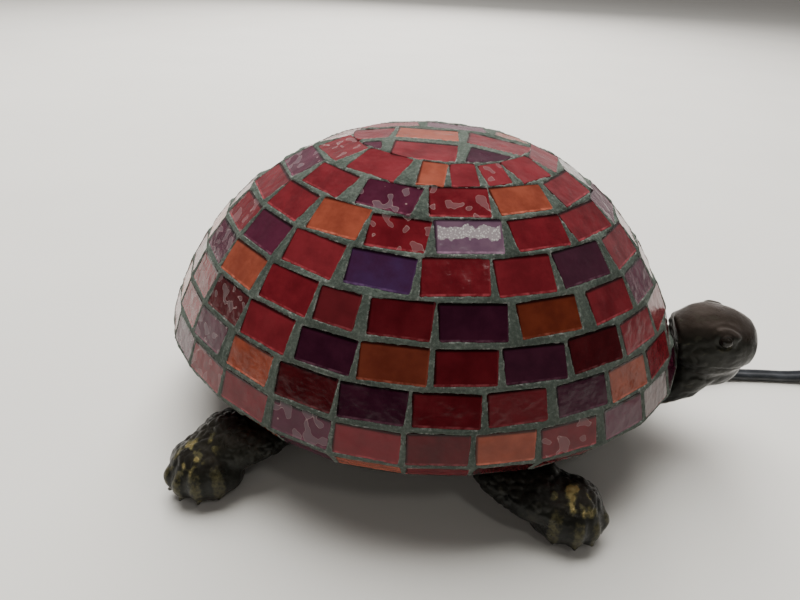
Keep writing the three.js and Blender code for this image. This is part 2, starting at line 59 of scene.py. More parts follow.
def add_camera():
    azimuth, elevation, roll = (radians(VIEW[k]) for k in ("azimuth", "elevation", "roll"))
    back = Vector((
        sin(azimuth) * cos(elevation),
        -cos(azimuth) * cos(elevation),
        sin(elevation),
    ))
    level = Vector((cos(azimuth), sin(azimuth), 0))
    upright = back.cross(level)
    right = level * cos(roll) + upright * sin(roll)
    up = upright * cos(roll) - level * sin(roll)
    data = bpy.data.cameras.new("camera")
    data.sensor_width = 36
    data.lens = VIEW["lens"]
    data.clip_start = 0.01
    data.clip_end = 20
    camera = bpy.data.objects.new("camera", data)
    turn = Matrix((right, up, back)).transposed().to_4x4()
    camera.matrix_world = Matrix.Translation((AIM + back * VIEW["distance"]) * MM) @ turn
    bpy.context.scene.collection.objects.link(camera)
    bpy.context.scene.camera = camera


def add_area_light(name, place, size, watts, colour):
    data = bpy.data.lights.new(name, "AREA")
    data.size = size
    data.energy = watts
    data.color = colour
    light = bpy.data.objects.new(name, data)
    light.location = place
    light.rotation_euler = (Vector(place) * -1).to_track_quat("-Z", "Y").to_euler()
    bpy.context.scene.collection.objects.link(light)
    return light


def add_light():
    for name, softbox in SOFTBOXES.items():
        add_area_light(name, *softbox).visible_glossy = False
    add_area_light("room_lamp", *ROOM_LAMP)
    world = bpy.data.worlds.new("studio")
    bpy.context.scene.world = world
    world.use_nodes = True
    tree = world.node_tree
    background = tree.nodes["Background"]
    background.inputs["Strength"].default_value = ROOM_STRENGTH
    direction = tree.nodes.new("ShaderNodeTexCoord")
    split = tree.nodes.new("ShaderNodeSeparateXYZ")
    reach = tree.nodes.new("ShaderNodeMapRange")
    reach.inputs["From Min"].default_value = -1
    ramp = tree.nodes.new("ShaderNodeValToRGB")
    stops = ramp.color_ramp.elements
    for place, _ in ROOM_TONES[1:-1]:
        stops.new(place)
    for stop, (_, tone) in zip(stops, ROOM_TONES):
        stop.color = (*(tone * c for c in ROOM_TINT), 1)
    tree.links.new(direction.outputs["Generated"], split.inputs[0])
    tree.links.new(split.outputs["Y"], reach.inputs["Value"])
    tree.links.new(reach.outputs["Result"], ramp.inputs[0])
    tree.links.new(ramp.outputs["Color"], background.inputs["Color"])


# ---- Materials ----

class Finish:
    """A procedural material: a Principled shader and the nodes that feed it."""

    def __init__(self, name, colour, roughness, **sockets):
        self.material = bpy.data.materials.new(name)
        self.material.use_nodes = True
        self.tree = self.material.node_tree
        self.shader = self.tree.nodes["Principled BSDF"]
        self.set("Base Color", (*colour, 1))
        self.set("Roughness", roughness)
        for socket, value in sockets.items():
            self.set(socket.replace("_", " "), value)

    def set(self, socket, value):
        self.shader.inputs[socket].default_value = value

    def link(self, source, target):
        self.tree.links.new(source, target)
        return target

    def node(self, kind, **inputs):
        made = self.tree.nodes.new(kind)
        for key, value in inputs.items():
            socket = made.inputs[int(key[1:])] if key[1:].isdigit() else made.inputs[key.replace("_", " ")]
            if isinstance(value, bpy.types.NodeSocket):
                self.link(value, socket)
            else:
                socket.default_value = value
        return made

    def place(self):
        return self.node("ShaderNodeTexCoord").outputs["Object"]

    def noise(self, scale, detail=3, roughness=0.5, place=None, distortion=0):
        return self.node(
            "ShaderNodeTexNoise", Vector=place or self.place(), Scale=scale, Detail=detail,
            Roughness=roughness, Distortion=distortion,
        ).outputs["Fac"]

    def cells(self, scale, place=None):
        made = self.node("ShaderNodeTexVoronoi", Vector=place or self.place(), Scale=scale)
        return made.outputs["Distance"]

    def ramp(self, source, low, high, start=0.0, end=1.0):
        made = self.node(
            "ShaderNodeMapRange", Value=source, From_Min=low, From_Max=high, To_Min=start, To_Max=end,
        )
        made.interpolation_type = "SMOOTHSTEP"
        return made.outputs["Result"]

    def math(self, operation, a, b=0.0):
        made = self.node("ShaderNodeMath", _0=a, _1=b)
        made.operation = operation
        return made.outputs[0]

    def times(self, a, b):
        return self.math("MULTIPLY", a, b)

    def plus(self, a, b):
        return self.math("ADD", a, b)

    def less(self, a, b):
        return self.math("SUBTRACT", a, b)

    def mix(self, factor, a, b):
        made = self.node("ShaderNodeMix", _0=factor)
        made.data_type = "RGBA"
        for value, socket in ((a, made.inputs[6]), (b, made.inputs[7])):
            if isinstance(value, bpy.types.NodeSocket):
                self.link(value, socket)
            else:
                socket.default_value = (*value, 1)
        return made.outputs[2]

    def attribute(self, name, kind="Fac"):
        made = self.tree.nodes.new("ShaderNodeAttribute")
        made.attribute_name = name
        return made.outputs[kind]

    def feed(self, socket, source):
        self.link(source, self.shader.inputs[socket])

    def bump(self, height, distance, strength=1.0, under=None):
        made = self.node("ShaderNodeBump", Height=height, Distance=distance, Strength=strength)
        if under:
            self.link(under, made.inputs["Normal"])
        self.link(made.outputs["Normal"], self.shader.inputs["Normal"])
        return made.outputs["Normal"]


GLASS_TINTS = {
    "r": ("red", (0.142, 0.0105, 0.0160), (0.060, 0.0036, 0.0065)),
    "c": ("crimson", (0.088, 0.006, 0.0095), (0.042, 0.0025, 0.0045)),
    "a": ("amber", (0.125, 0.024, 0.011), (0.060, 0.009, 0.005)),
    "d": ("dark_red", (0.055, 0.004, 0.006), (0.024, 0.0015, 0.003)),
    "o": ("orange", (0.245, 0.055, 0.029), (0.105, 0.016, 0.009)),
    "p": ("purple", (0.064, 0.008, 0.024), (0.030, 0.004, 0.012)),
    "v": ("violet", (0.037, 0.006, 0.017), (0.015, 0.0025, 0.008)),
    "b": ("indigo", (0.046, 0.018, 0.062), (0.042, 0.008, 0.026)),
    "w": ("painted_glare", (0.15, 0.085, 0.125), (0.085, 0.040, 0.075)),
}


def glass_finish(name, bright, deep):
    """Rolled coloured glass: cloudy colour, a shaded upper edge, a lit lower edge, and some pale puddles."""
    f = Finish(f"glass_{name}", bright, 0.14, IOR=1.31)
    spot = f.attribute("tile_place", "Vector")
    size = f.attribute("tile_size", "Vector")
    along, up, seed = f.node("ShaderNodeSeparateXYZ", _0=spot).outputs
    width, height, puddles = f.node("ShaderNodeSeparateXYZ", _0=size).outputs
    shifted = f.node("ShaderNodeCombineXYZ", _0=along, _1=up, _2=f.times(seed, 90.0)).outputs[0]
    cloud = f.noise(0.16, 4, 0.6, place=shifted)
    tint = f.mix(f.ramp(cloud, 0.28, 0.70, 0.38, 1.0), deep, bright)
    paler = tuple(min(1.0, 1.6 * c + 0.02) for c in bright)
    tint = f.mix(f.times(f.ramp(seed, 0.45, 1.0), 0.3), tint, paler)
    below_top = f.less(height, up)
    from_right = f.less(width, along)
    shade = f.math("MAXIMUM", f.ramp(below_top, 1.25, 0.55), f.ramp(along, 1.1, 0.5, 0.0, 0.85))
    tint = f.mix(f.times(shade, 0.9), tint, tuple(c * 0.08 for c in deep))
    wobble = f.ramp(f.noise(0.5, 2, 0.5, place=shifted), 0.35, 0.7, 0.1, 0.9)
    lit = f.times(f.ramp(up, 0.95, 0.6), wobble)
    lit = f.math("MAXIMUM", lit, f.times(f.ramp(from_right, 0.75, 0.45), 0.2))
    tint = f.mix(lit, tint, tuple(min(1.0, 2.0 * c + 0.03) for c in bright))
    pool = f.noise(0.34, 0.6, 0.4, place=shifted)
    inside = f.times(f.ramp(pool, 0.60, 0.615), puddles)
    rim = f.times(f.ramp(f.math("ABSOLUTE", f.less(pool, 0.61)), 0.012, 0.004), puddles)
    pale = tuple(0.6 * c + 0.13 for c in bright)
    tint = f.mix(f.times(inside, 0.36), tint, pale)
    tint = f.mix(f.times(rim, 0.32), tint, (0.5, 0.34, 0.32))
    # This tile gets a pale streak across it: a painted reflection of a lamp on its face, broken up into
    # cells.
    if name == "painted_glare":
        off = f.less(up, f.times(height, 0.6))
        off = f.plus(off, f.times(f.less(f.noise(0.4, 2, 0.5, place=shifted), 0.5), 3.4))
        band = f.times(f.ramp(f.math("ABSOLUTE", off), 1.9, 1.6), f.ramp(from_right, 0.9, 1.3))
        band = f.times(band, f.ramp(along, 0.9, 1.3))
        glare_breakup = f.ramp(f.cells(1.7, place=shifted), 0.12, 0.5, 1.0, 0.35)
        tint = f.mix(f.times(band, glare_breakup), tint, (0.60, 0.60, 0.56))
    f.feed("Base Color", tint)
    f.feed("Roughness", f.ramp(cloud, 0.2, 0.8, 0.08, 0.22))
    waves = f.noise(0.2, 2, 0.5, place=shifted)
    under = f.bump(f.plus(waves, f.times(inside, 0.06)), 0.0006, 0.5)
    f.bump(f.noise(1.1, 3, 0.6, place=shifted), 0.00008, 0.4, under)
    return f.material


def grout_finish():
    """Sanded cement: grey-green in the joint, chalky in places along the lips, with grains and pits."""
    f = Finish("grout_sanded", (0.07, 0.088, 0.072), 0.85, Specular_IOR_Level=0.2)
    lip = f.attribute("lip")
    broad = f.noise(60, 3, 0.6)
    grain = f.noise(1150, 4, 0.75)
    tint = f.mix(f.ramp(broad, 0.3, 0.7), (0.066, 0.083, 0.069), (0.105, 0.124, 0.104))
    tint = f.mix(f.ramp(grain, 0.40, 0.62, 0.5, 0.0), tint, (0.034, 0.044, 0.037))
    tint = f.mix(f.ramp(grain, 0.54, 0.70, 0.0, 0.4), tint, (0.175, 0.195, 0.168))
    chalk = f.times(f.ramp(lip, 0.6, 1.0), f.ramp(f.noise(700, 3, 0.7), 0.5, 0.66))
    tint = f.mix(f.times(chalk, 0.55), tint, (0.34, 0.345, 0.32))
    f.feed("Base Color", tint)
    under = f.bump(grain, 0.0005, 0.8)
    f.bump(f.cells(1300), 0.0002, 0.35, under)
    return f.material


def bronze_finish():
    """Dark patinated casting: near-black brown, lighter on upward faces as dust and painted top light, and
    gold where hands have rubbed it.
    """
    f = Finish("bronze_patina", (0.014, 0.011, 0.009), 0.4, Metallic=0.35, Specular_IOR_Level=0.3)
    rub = f.attribute("rub")
    top = f.attribute("top")
    broad = f.noise(70, 4, 0.6)
    fine = f.noise(900, 4, 0.65)
    tint = f.mix(f.ramp(broad, 0.35, 0.7), (0.007, 0.0075, 0.0062), (0.018, 0.0175, 0.0130))
    # Upward faces (the top attribute) are drawn lighter: partly dust, partly painted top light.
    dust_and_toplight = f.times(f.ramp(top, 0.25, 1.0), f.ramp(broad, 0.25, 0.7, 0.35, 0.9))
    tint = f.mix(dust_and_toplight, tint, (0.044, 0.033, 0.027))
    tint = f.mix(f.ramp(f.noise(260, 3, 0.6), 0.56, 0.72, 0.0, 0.45), tint, (0.045, 0.042, 0.03))
    speckled = f.plus(rub, f.times(f.less(fine, 0.5), 0.9))
    tint = f.mix(f.times(f.ramp(speckled, 0.16, 0.5), 0.8), tint, (0.082, 0.074, 0.034))
    worn = f.ramp(speckled, 0.5, 0.82)
    tint = f.mix(f.times(worn, 0.9), tint, (0.40, 0.32, 0.13))
    f.feed("Base Color", tint)
    f.feed("Metallic", f.ramp(worn, 0.0, 1.0, 0.35, 0.8))
    f.feed("Roughness", f.ramp(f.noise(180, 4, 0.6), 0.3, 0.7, 0.26, 0.48))
    under = f.bump(broad, 0.0006, 0.5)
    f.bump(fine, 0.0003, 0.45, under)
    return f.material


def cord_finish():
    """Black flexible PVC: a soft sheen, scuffs and faint lines along it."""
    f = Finish("pvc_black", (0.012, 0.014, 0.017), 0.42, Sheen_Weight=0.08)
    tint = f.mix(f.ramp(f.noise(240, 3, 0.6), 0.4, 0.75), (0.010, 0.012, 0.015), (0.026, 0.029, 0.034))
    f.feed("Base Color", tint)
    f.feed("Roughness", f.ramp(f.noise(500, 3, 0.6), 0.3, 0.7, 0.34, 0.56))
    f.bump(f.noise(1500, 3, 0.6), 0.00015, 0.4)
    return f.material


def bowl_finish():
    """Frosted glass bowl, with smears of glue."""
    f = Finish("bowl_frosted", (0.55, 0.53, 0.5), 0.35)
    smears = f.ramp(f.noise(90, 4, 0.6), 0.35, 0.7)
    f.feed("Base Color", f.mix(smears, (0.42, 0.40, 0.37), (0.62, 0.60, 0.57)))
    f.bump(f.noise(300, 3, 0.6), 0.0003, 0.5)
    return f.material


def worked_finish(name, dark, bright, roughness, grain, depth, sockets):
    """A plain material with two tones in patches, uneven polish and fine grain."""
    f = Finish(name, bright, roughness, **sockets)
    patches = f.noise(150, 4, 0.6)
    fine = f.noise(grain, 4, 0.7)
    tint = f.mix(f.ramp(patches, 0.35, 0.68), dark, bright)
    f.feed("Base Color", f.mix(f.ramp(fine, 0.5, 0.75, 0.0, 0.5), tint, tuple(c * 0.6 for c in dark)))
    polish = f.ramp(patches, 0.3, 0.7, roughness * 0.8, min(1.0, roughness * 1.25))
    f.feed("Roughness", polish)
    f.bump(fine, depth, 0.5)
    return f.material


def clear_glass_finish():
    """Blown glass with faint flow lines."""
    f = Finish("glass_clear", (0.95, 0.97, 0.96), 0.02, IOR=1.5, Transmission_Weight=1.0)
    f.feed("Base Color", f.mix(f.noise(120, 2, 0.5), (0.90, 0.94, 0.92), (0.98, 0.99, 0.985)))
    f.bump(f.noise(90, 3, 0.5), 0.0002, 0.3)
    return f.material


add_camera()
add_light()
GLASS = {letter: glass_finish(*tint) for letter, tint in GLASS_TINTS.items()}
# Dark and bright tone, roughness, size and depth of the grain, and what else is set on the shader.
WORKED = {
    "steel": ((0.30, 0.30, 0.29), (0.52, 0.52, 0.50), 0.36, 1600, 0.0001, {"Metallic": 0.95}),
    "brass": ((0.42, 0.29, 0.10), (0.66, 0.48, 0.19), 0.3, 1500, 0.0001, {"Metallic": 0.95}),
    "phenolic": ((0.012, 0.008, 0.006), (0.03, 0.02, 0.014), 0.34, 1200, 0.0001, {}),
    "tungsten": ((0.10, 0.10, 0.11), (0.22, 0.21, 0.20), 0.45, 3000, 0.0001, {"Metallic": 0.9}),
    "felt": ((0.010, 0.014, 0.011), (0.032, 0.040, 0.034), 0.95, 2600, 0.0008, {}),
    "eye": ((0.004, 0.004, 0.004), (0.016, 0.013, 0.010), 0.13, 700, 0.00005, {"Specular_IOR_Level": 0.3}),
}
FINISHES = {
    "bronze": bronze_finish(),
    "grout": grout_finish(),
    "black_pvc": cord_finish(),
    "liner": bowl_finish(),
    "clear_glass": clear_glass_finish(),
    **{slot: worked_finish(f"{slot}_worked", *values) for slot, values in WORKED.items()},
}


# ---- Making meshes ----
SHARP = 35


def crisp(made, degrees):
    """Smooth faces, with the edges over so many degrees kept sharp."""
    made.data.shade_smooth()
    made.data.set_sharp_from_angle(angle=radians(degrees))
    return made


def make_object(name, points, faces, materials, crease=None):
    """An object from points in millimetres. Its faces are smooth, but sharp over `crease` degrees."""
    mesh = bpy.data.meshes.new(name)
    mesh.from_pydata((np.asarray(points, float) * MM).tolist(), [], [tuple(map(int, f)) for f in faces])
    for material in materials:
        mesh.materials.append(material)
    mesh.shade_smooth()
    made = bpy.data.objects.new(name, mesh)
    bpy.context.scene.collection.objects.link(made)
    return made if crease is None else crisp(made, crease)


def piece(made, body, slot, *nodes):
    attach(made, body)
    if nodes:
        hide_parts(*nodes)
    return made


def part(name, shape, slot, *nodes, body="base", crease=None):
    """A finished piece from points and faces, in its slot's finish."""
    return piece(make_object(name, *shape, [FINISHES[slot]], crease), body, slot, *nodes)


def set_values(made, name, values):
    """Stores one number, or three, for each point of a mesh."""
    values = np.asarray(values, float)
    kind = "FLOAT" if values.ndim == 1 else "FLOAT_VECTOR"
    layer = made.data.attributes.new(name, kind, "POINT")
    layer.data.foreach_set("value" if values.ndim == 1 else "vector", values.ravel())


def ring_faces(rings, sides, loop=False):
    faces = []
    for r in range(rings if loop else rings - 1):
        here = r * sides
        above = (r + 1) % rings * sides
        for i in range(sides):
            on = (i + 1) % sides
            faces.append((here + i, here + on, above + on, above + i))
    return faces


def loft(rings, loop=False):
    """Points and faces through rings of equal count; the ends are closed unless the rings make a loop."""
    sides = len(rings[0])
    faces = ring_faces(len(rings), sides, loop)
    if not loop:
        last = (len(rings) - 1) * sides
        faces.append(tuple(range(sides))[::-1])
        faces.append(tuple(range(last, last + sides)))
    return np.concatenate(rings), faces


def joined(shapes):
    points, faces = [], []
    for shape_points, shape_faces in shapes:
        base = sum(len(p) for p in points)
        points.append(np.asarray(shape_points, float))
        faces += [tuple(base + i for i in f) for f in shape_faces]
    return np.concatenate(points), faces


def baked(made):
    """Puts the object's modifiers into its mesh."""
    mesh = bpy.data.meshes.new_from_object(made.evaluated_get(bpy.context.evaluated_depsgraph_get()))
    made.modifiers.clear()
    before = made.data
    made.data = mesh
    bpy.data.meshes.remove(before)
    return made


def outward(made):
    """Turns every face to look out of its closed solid."""
    solid = bmesh.new()
    solid.from_mesh(made.data)
    bmesh.ops.recalc_face_normals(solid, faces=solid.faces)
    solid.to_mesh(made.data)
    solid.free()
    return made


def carve(made, shapes, operation="DIFFERENCE"):
    tools = [outward(make_object("tool", *shape, [])) for shape in shapes]
    for tool in tools:
        change = made.modifiers.new("carve", "BOOLEAN")
        change.operation = operation
        change.object = tool
    baked(made)
    for tool in tools:
        bpy.data.objects.remove(tool)
    return made


def eased(made, width, segments=3):
    """Rounds the sharp edges."""
    bevel = made.modifiers.new("bevel", "BEVEL")
    bevel.width = width * MM
    bevel.segments = segments
    bevel.angle_limit = radians(SHARP)
    return crisp(baked(made), SHARP)


def machined(name, shape, slot, node, ease, segments, *cuts, body="base"):
    """A closed solid with groups of cuts taken out of it one after the other, and its edges eased."""
    made = outward(make_object(name, *shape, [FINISHES[slot]]))
    for group in cuts:
        carve(made, group)
    return piece(eased(made, ease, segments), body, slot, node)


def filleted(path, radius, loop=False, steps=4):
    """A 2-D path with its corners rounded."""
    path = np.asarray(path, float)
    out = []
    for i, here in enumerate(path):
        if not loop and i in (0, len(path) - 1):
            out.append(here)
            continue
        back = path[i - 1] - here
        on = path[(i + 1) % len(path)] - here
        start = back * min(0.45, radius / np.linalg.norm(back))
        end = on * min(0.45, radius / np.linalg.norm(on))
        out += [here + (1 - t) ** 2 * start + t * t * end for t in np.linspace(0, 1, steps + 1)]
    return np.array(out)


def unit(vectors):
    return vectors / np.linalg.norm(vectors, axis=-1, keepdims=True)


def lengths_along(path):
    return np.concatenate([[0], np.cumsum(np.linalg.norm(np.diff(path, axis=0), axis=1))])


def circle(sides):
    return np.arange(sides) / sides * 2 * pi


def resampled(path, spacing):
    path = np.asarray(path, float)
    along = lengths_along(path)
    even = np.unique(np.concatenate([along, np.arange(0, along[-1], spacing)]))
    return np.stack([np.interp(even, along, path[:, k]) for k in range(path.shape[1])], axis=1)


def turned(path, centre, axis="X", sides=48, relief=None, loop=False):
    """Turns a path of (radius, along) about a line through `centre`; `relief` is taken off the radius."""
    angle = circle(sides)
    rings = []
    for radius, along in path:
        reach = radius - (relief(along, angle) if relief else 0)
        u = centre[0] + reach * np.cos(angle)
        v = centre[1] + reach * np.sin(angle)
        level = np.full(sides, along)
        rings.append(np.stack([level, u, v] if axis == "X" else [u, v, level], axis=1))
    return loft(rings, loop)


def thread(low, high, pitch, depth):
    """Relief for a round-topped screw thread between two heights."""
    def relief(along, angle):
        inside = step(along, low, low + pitch * 0.4) * step(along, high, high - pitch * 0.4)
        return inside * depth * (0.5 + 0.5 * np.cos(2 * pi * along / pitch - angle))
    return relief


def block(low, high):
    x0, y0, z0 = low
    x1, y1, z1 = high
    rings = [[(x0, y0, z), (x1, y0, z), (x1, y1, z), (x0, y1, z)] for z in (z0, z1)]
    return loft(np.array(rings, float))


def standing(outline, low, high, axis=2):
    """A flat outline drawn out from `low` to `high` along one axis."""
    return loft([np.insert(np.asarray(outline, float), axis, level, axis=1) for level in (low, high)])


def step(value, low, high):
    """0 below `low`, 1 above `high`, smooth between; or the other way round when low > high."""
    share = np.clip((value - low) / (high - low), 0, 1)
    return share * share * (3 - 2 * share)


def tangents(route):
    return unit(np.gradient(route, axis=0))


def level_frames(route):
    """For each point of a route: the level direction across it, and the one over it."""
    ahead = tangents(route)
    side = unit(np.cross(Z, ahead))
    return side, np.cross(ahead, side)


def wire(route, radius, sides=8):
    """A round wire along a route, without twist."""
    tangent = tangents(route)
    side = np.cross(tangent[0], Z if abs(tangent[0][2]) < 0.9 else X)
    angle = circle(sides)
    rings = []
    for centre, ahead in zip(route, tangent):
        side = unit(side - ahead * side.dot(ahead))
        over = np.cross(ahead, side)
        rings.append(centre + radius * (np.outer(np.cos(angle), side) + np.outer(np.sin(angle), over)))
    return loft(rings)


# ---- Cords: a flat twin lead that keeps lying on its broad side ----
CORD_WIDTH = 5.6
CORD_THICK = 2.8
LIE = 1.6
LAYER = 2.9
LANE_Y = 42
COIL = {
    "x": 252, "y": 81, "widest": 39, "turn": 5.8, "turns": 4, "steps": 24, "top_share": 0.75,
    "top_in": (0, 0.12), "outwards_in": (0.12, 0.44), "climb_in": (0.44, 0.6), "inwards_in": (0.6, 1),
}
TIE = {"width": 4.0, "thick": 0.15, "corner": 1.0}
TIE_SECTION = [(18.1, 0.18), (42.3, 0.18), (42.3, 9.0), (35.6, 9.0), (34.4, 6.1), (18.1, 6.1)]
PLUG_X = 213
LEAD_TO_SWITCH = [
    (90.3, 32.05, 7.9), (96, 32.9, 6.1), (102, 34.1, 4.2), (109, 35.8, 2.4), (117, 37.6, LIE),
    (127, 39.5, LIE), (137, 41.2, LIE), (144, LANE_Y, 2.7), (148.5, LANE_Y, 4.2), (151.6, LANE_Y, 4.4),
]
LEAD_TO_COIL = [
    (198.4, LANE_Y, 4.4), (201.5, LANE_Y, 4.1), (206.5, LANE_Y, 2.4), (213, LANE_Y, LIE),
    (222, LANE_Y, LIE), (231, LANE_Y, LIE), (241, LANE_Y, LIE),
]
LEAD_TO_PLUG = [
    (213, 72, 7.4), (213, 65, 7.3), (213, 58.5, 7.1), (213, 50, 6.2), (213, 42, 5), (213, 34, 3.6),
    (213, 26, 2.1), (213, 19, 1.8), (213, 13, 3), (213, 9.5, 4.9), (213, 6.4, 5.4),
]


def coil_points():
    """Inwards on the table, up over the middle, outwards again above it, and most of a turn on top."""
    radii = [COIL["widest"] - COIL["turn"] * k for k in range(COIL["turns"])]
    inwards = list(zip(radii, radii[1:]))
    legs = [(a, b, 0, 0, COIL["inwards_in"]) for a, b in inwards]
    legs += [(radii[-1], radii[-1], 0, 1, COIL["climb_in"])]
    legs += [(b, a, 1, 1, COIL["outwards_in"]) for a, b in reversed(inwards)]
    legs += [(radii[0], radii[0], 1, 2, COIL["top_in"])]
    points = []
    for number, (near, far, low, high, window) in enumerate(legs):
        last = number == len(legs) - 1
        for k in range(int(COIL["steps"] * COIL["top_share"]) + 1 if last else COIL["steps"]):
            share = k / COIL["steps"]
            ease = float(step(share, *window))
            radius = near + (far - near) * ease
            angle = 2 * pi * (share - 0.25)
            x = COIL["x"] + radius * cos(angle)
            y = COIL["y"] + radius * sin(angle)
            points.append((x, y, LIE + LAYER * (low + (high - low) * ease)))
    return points


def smooth_route(points, spacing=2.0):
    """A centripetal curve through the points, sampled evenly."""
    p = np.asarray(points, float)
    p = np.concatenate([[2 * p[0] - p[1]], p, [2 * p[-1] - p[-2]]])
    gap = np.maximum(np.linalg.norm(np.diff(p, axis=0), axis=1) ** 0.5, 1e-6)
    fine = []
    for i in range(1, len(p) - 2):
        t0, t1, t2, t3 = np.concatenate([[0], np.cumsum(gap[i - 1:i + 2])])
        for t in np.linspace(t1, t2, 24, endpoint=False):
            a1 = ((t1 - t) * p[i - 1] + (t - t0) * p[i]) / (t1 - t0)
            a2 = ((t2 - t) * p[i] + (t - t1) * p[i + 1]) / (t2 - t1)
            a3 = ((t3 - t) * p[i + 1] + (t - t2) * p[i + 2]) / (t3 - t2)
            b1 = ((t2 - t) * a1 + (t - t0) * a2) / (t2 - t0)
            b2 = ((t3 - t) * a2 + (t - t1) * a3) / (t3 - t1)
            fine.append(((t2 - t) * b1 + (t - t1) * b2) / (t2 - t1))
    fine = np.array(fine + [p[-2]])
    along = lengths_along(fine)
    even = np.linspace(0, along[-1], max(8, round(along[-1] / spacing)))
    return np.stack([np.interp(even, along, fine[:, k]) for k in range(3)], axis=1)


def twin_section():
    """Two round cores joined by a web, as a closed outline of (across, up)."""
    core = CORD_THICK / 2
    offset = CORD_WIDTH / 2 - core
    arc = np.radians(np.linspace(-132, 132, 15))
    right = [(offset + core * cos(a), core * sin(a)) for a in arc]
    left = [(-u, -v) for u, v in right]
    return right + left


def sweep_level(route, section):
    """Sweeps a section along a route with its width always level."""
    frames = zip(route, *level_frames(route))
    return loft([centre + np.array([u * s + v * w for u, v in section]) for centre, s, w in frames])


def add_cord(name, points, node_names, with_pieces):
    route = smooth_route(points)
    made = part(name, sweep_level(route, twin_section()), "black_pvc", *node_names, crease=60)


def add_tie():
    """A thin plastic band round one side of the coil."""
    near = filleted(TIE_SECTION, TIE["corner"], True)
    ahead = unit(np.roll(near, -1, axis=0) - np.roll(near, 1, axis=0))
    far = near + np.stack([ahead[:, 1], -ahead[:, 0]], axis=1) * TIE["thick"]
    sides = [(near, -1), (near, 1), (far, 1), (far, -1)]
    rings = np.stack([np.insert(p, 0, way * TIE["width"] / 2, axis=1) for p, way in sides], axis=1)
    return part("coil_tie", loft(rings + (COIL["x"], COIL["y"], 0), True), "black_pvc", crease=50)


def add_cords(switch, plug):
    """The free lengths: from the strain relief to the switch, and on to the plug by way of the coil."""
    add_cord("lead_to_switch", LEAD_TO_SWITCH, ["cord_to_switch"], switch)
    wound = LEAD_TO_COIL + coil_points() + LEAD_TO_PLUG
    hidden = ["cord_to_coil", "cord_coil", "cord_to_plug"]
    add_cord("lead_to_plug", wound, hidden, [*plug, add_tie()])


# ---- The mosaic shell: flat glass tiles in sanded grout on a clear bowl ----
SHELL = {
    "centre_x": -18, "rear": 87.5, "front": 102, "half_width": 77, "crown": 98.3, "fullness": 2.44,
    "slope": 1.59, "outline": 1.815, "skew": 12.7, "egg": 0.082, "widest_z": 30, "tuck": 0.09,
}
RIM_Z = 22.6
TILE_THICK = 2.2
TILE_SUNK = 0.15
SUNK_SPREAD = (-0.08, 0.1)
TILE_LEAN = 0.009
JOINT = 2.0
WIDTH_SPREAD = (0.15, 0.65)
SPREAD = 0.42
UNEVEN = 0.3
WIDER_JOINT = 1.5
CORNER = 0.6
TILE_BEVEL = 0.22
LINER_OUTSIDE = 3.4
LINER_INSIDE = 5.0
GROUT_DEPTH = 2.9
GROUT_REACH = 18
UNDER_TILE = 1.5
GRID = {"spacing": 0.56, "girth": 560, "most": 960, "fewest": 60}
MOSAIC_SEED = 7
# A tile is a colour letter of GLASS_TINTS, a capital for a wide one, with - or = for a short one and * for
# pale puddles in it. A dot widens the joint before the next tile. Each course has its lower and its upper
# height, where its first listed tile starts, in millimetres round the near side from the tail, and its
# tiles. The rest of the course is filled in at random.
COURSES = [
    (22.9, 28.2, 56, "r o p O r d r R p r"),
    (30.0, 38.0, 33, "p* R* R . P* R c o R* . p"),
    (40.0, 48.2, 27, "r* p* . . o . D V C c . v o r"),
    (50.2, 58.4, 25, "r* D* R . v A c V D r r"),
    (60.5, 68.3, 19, "p* O . R c- . c V . A . . r p"),
    (70.3, 77.4, 15, "r* p . R . B R r V . r r"),
    (79.0, 84.8, 8.5, "r r . o r* W . r R p r"),
    (86.1, 90.5, 5, "p* . r . . p* . r* o . r"),
    (91.7, 94.6, 5, "r* . r . . o= r= r=* r- r"),
]
CAP_JOINT_Z = 95.3
# Rows of small tiles on the crown from the near side: their y range, where they start in x, and the tiles.
CAP_ROWS = [
    (-22, -11.2, -40, "p r v r"),
    (-9.0, 1.0, -42, "R o R r r"),
    (3.2, 12.4, -33, "r p o R r"),
    (14.6, 24, -30, "d r O r"),
]
WIDTHS = {"": 16.0, "capital": 17.4, "-": 11.8, "=": 7.0}
HIDDEN_TINTS = "rrrrrrddoopppvv"
HIDDEN_PUDDLED = 0.18
CAP_WIDER = 3
CAP_SLANT = 2.2
CAP_SMALLEST = (4, 2.5)


def signed_power(value, power):
    return np.sign(value) * np.abs(value) ** power


def shell_share(z, inset=0.0):
    """How far the shell reaches at a height, as a share of its whole plan."""
    z = np.asarray(z, float)
    height = np.minimum(np.maximum(z, SHELL["widest_z"]) / (SHELL["crown"] - inset), 1)
    tucked = np.maximum(SHELL["widest_z"] - z, 0) / 10
    return (1 - height ** SHELL["slope"]) ** (1 / SHELL["fullness"]) * (1 - SHELL["tuck"] * tucked ** 1.6)


def shell_point(share, z, angle, inset=0.0):
    along = signed_power(np.cos(angle), 2 / SHELL["outline"])
    across = signed_power(np.sin(angle), 2 / SHELL["outline"])
    reach = np.where(along > 0, SHELL["front"], SHELL["rear"]) - inset
    x = SHELL["centre_x"] + reach * share * along + SHELL["skew"] * (1 - share)
    y = (SHELL["half_width"] - inset) * share * across * (1 + SHELL["egg"] * along)
    return np.stack(np.broadcast_arrays(x, y, np.asarray(z, float) + 0 * angle), axis=-1)


def shell_ring(share, z, sides, inset=0.0):
    return shell_point(share, z, (np.arange(sides) + 0.5) / sides * 2 * pi, inset)


DENSE = np.linspace(-pi, pi, 2881)


class Girth:
    """The line round the shell at a height, measured in millimetres from the tail along the near side."""

    def __init__(self, z):
        ring = shell_point(shell_share(z), z, DENSE)
        self.lengths = lengths_along(ring)
        self.total = self.lengths[-1]

    def angle(self, length):
        turns = np.floor(length / self.total)
        return np.interp(length - turns * self.total, self.lengths, DENSE) + turns * 2 * pi


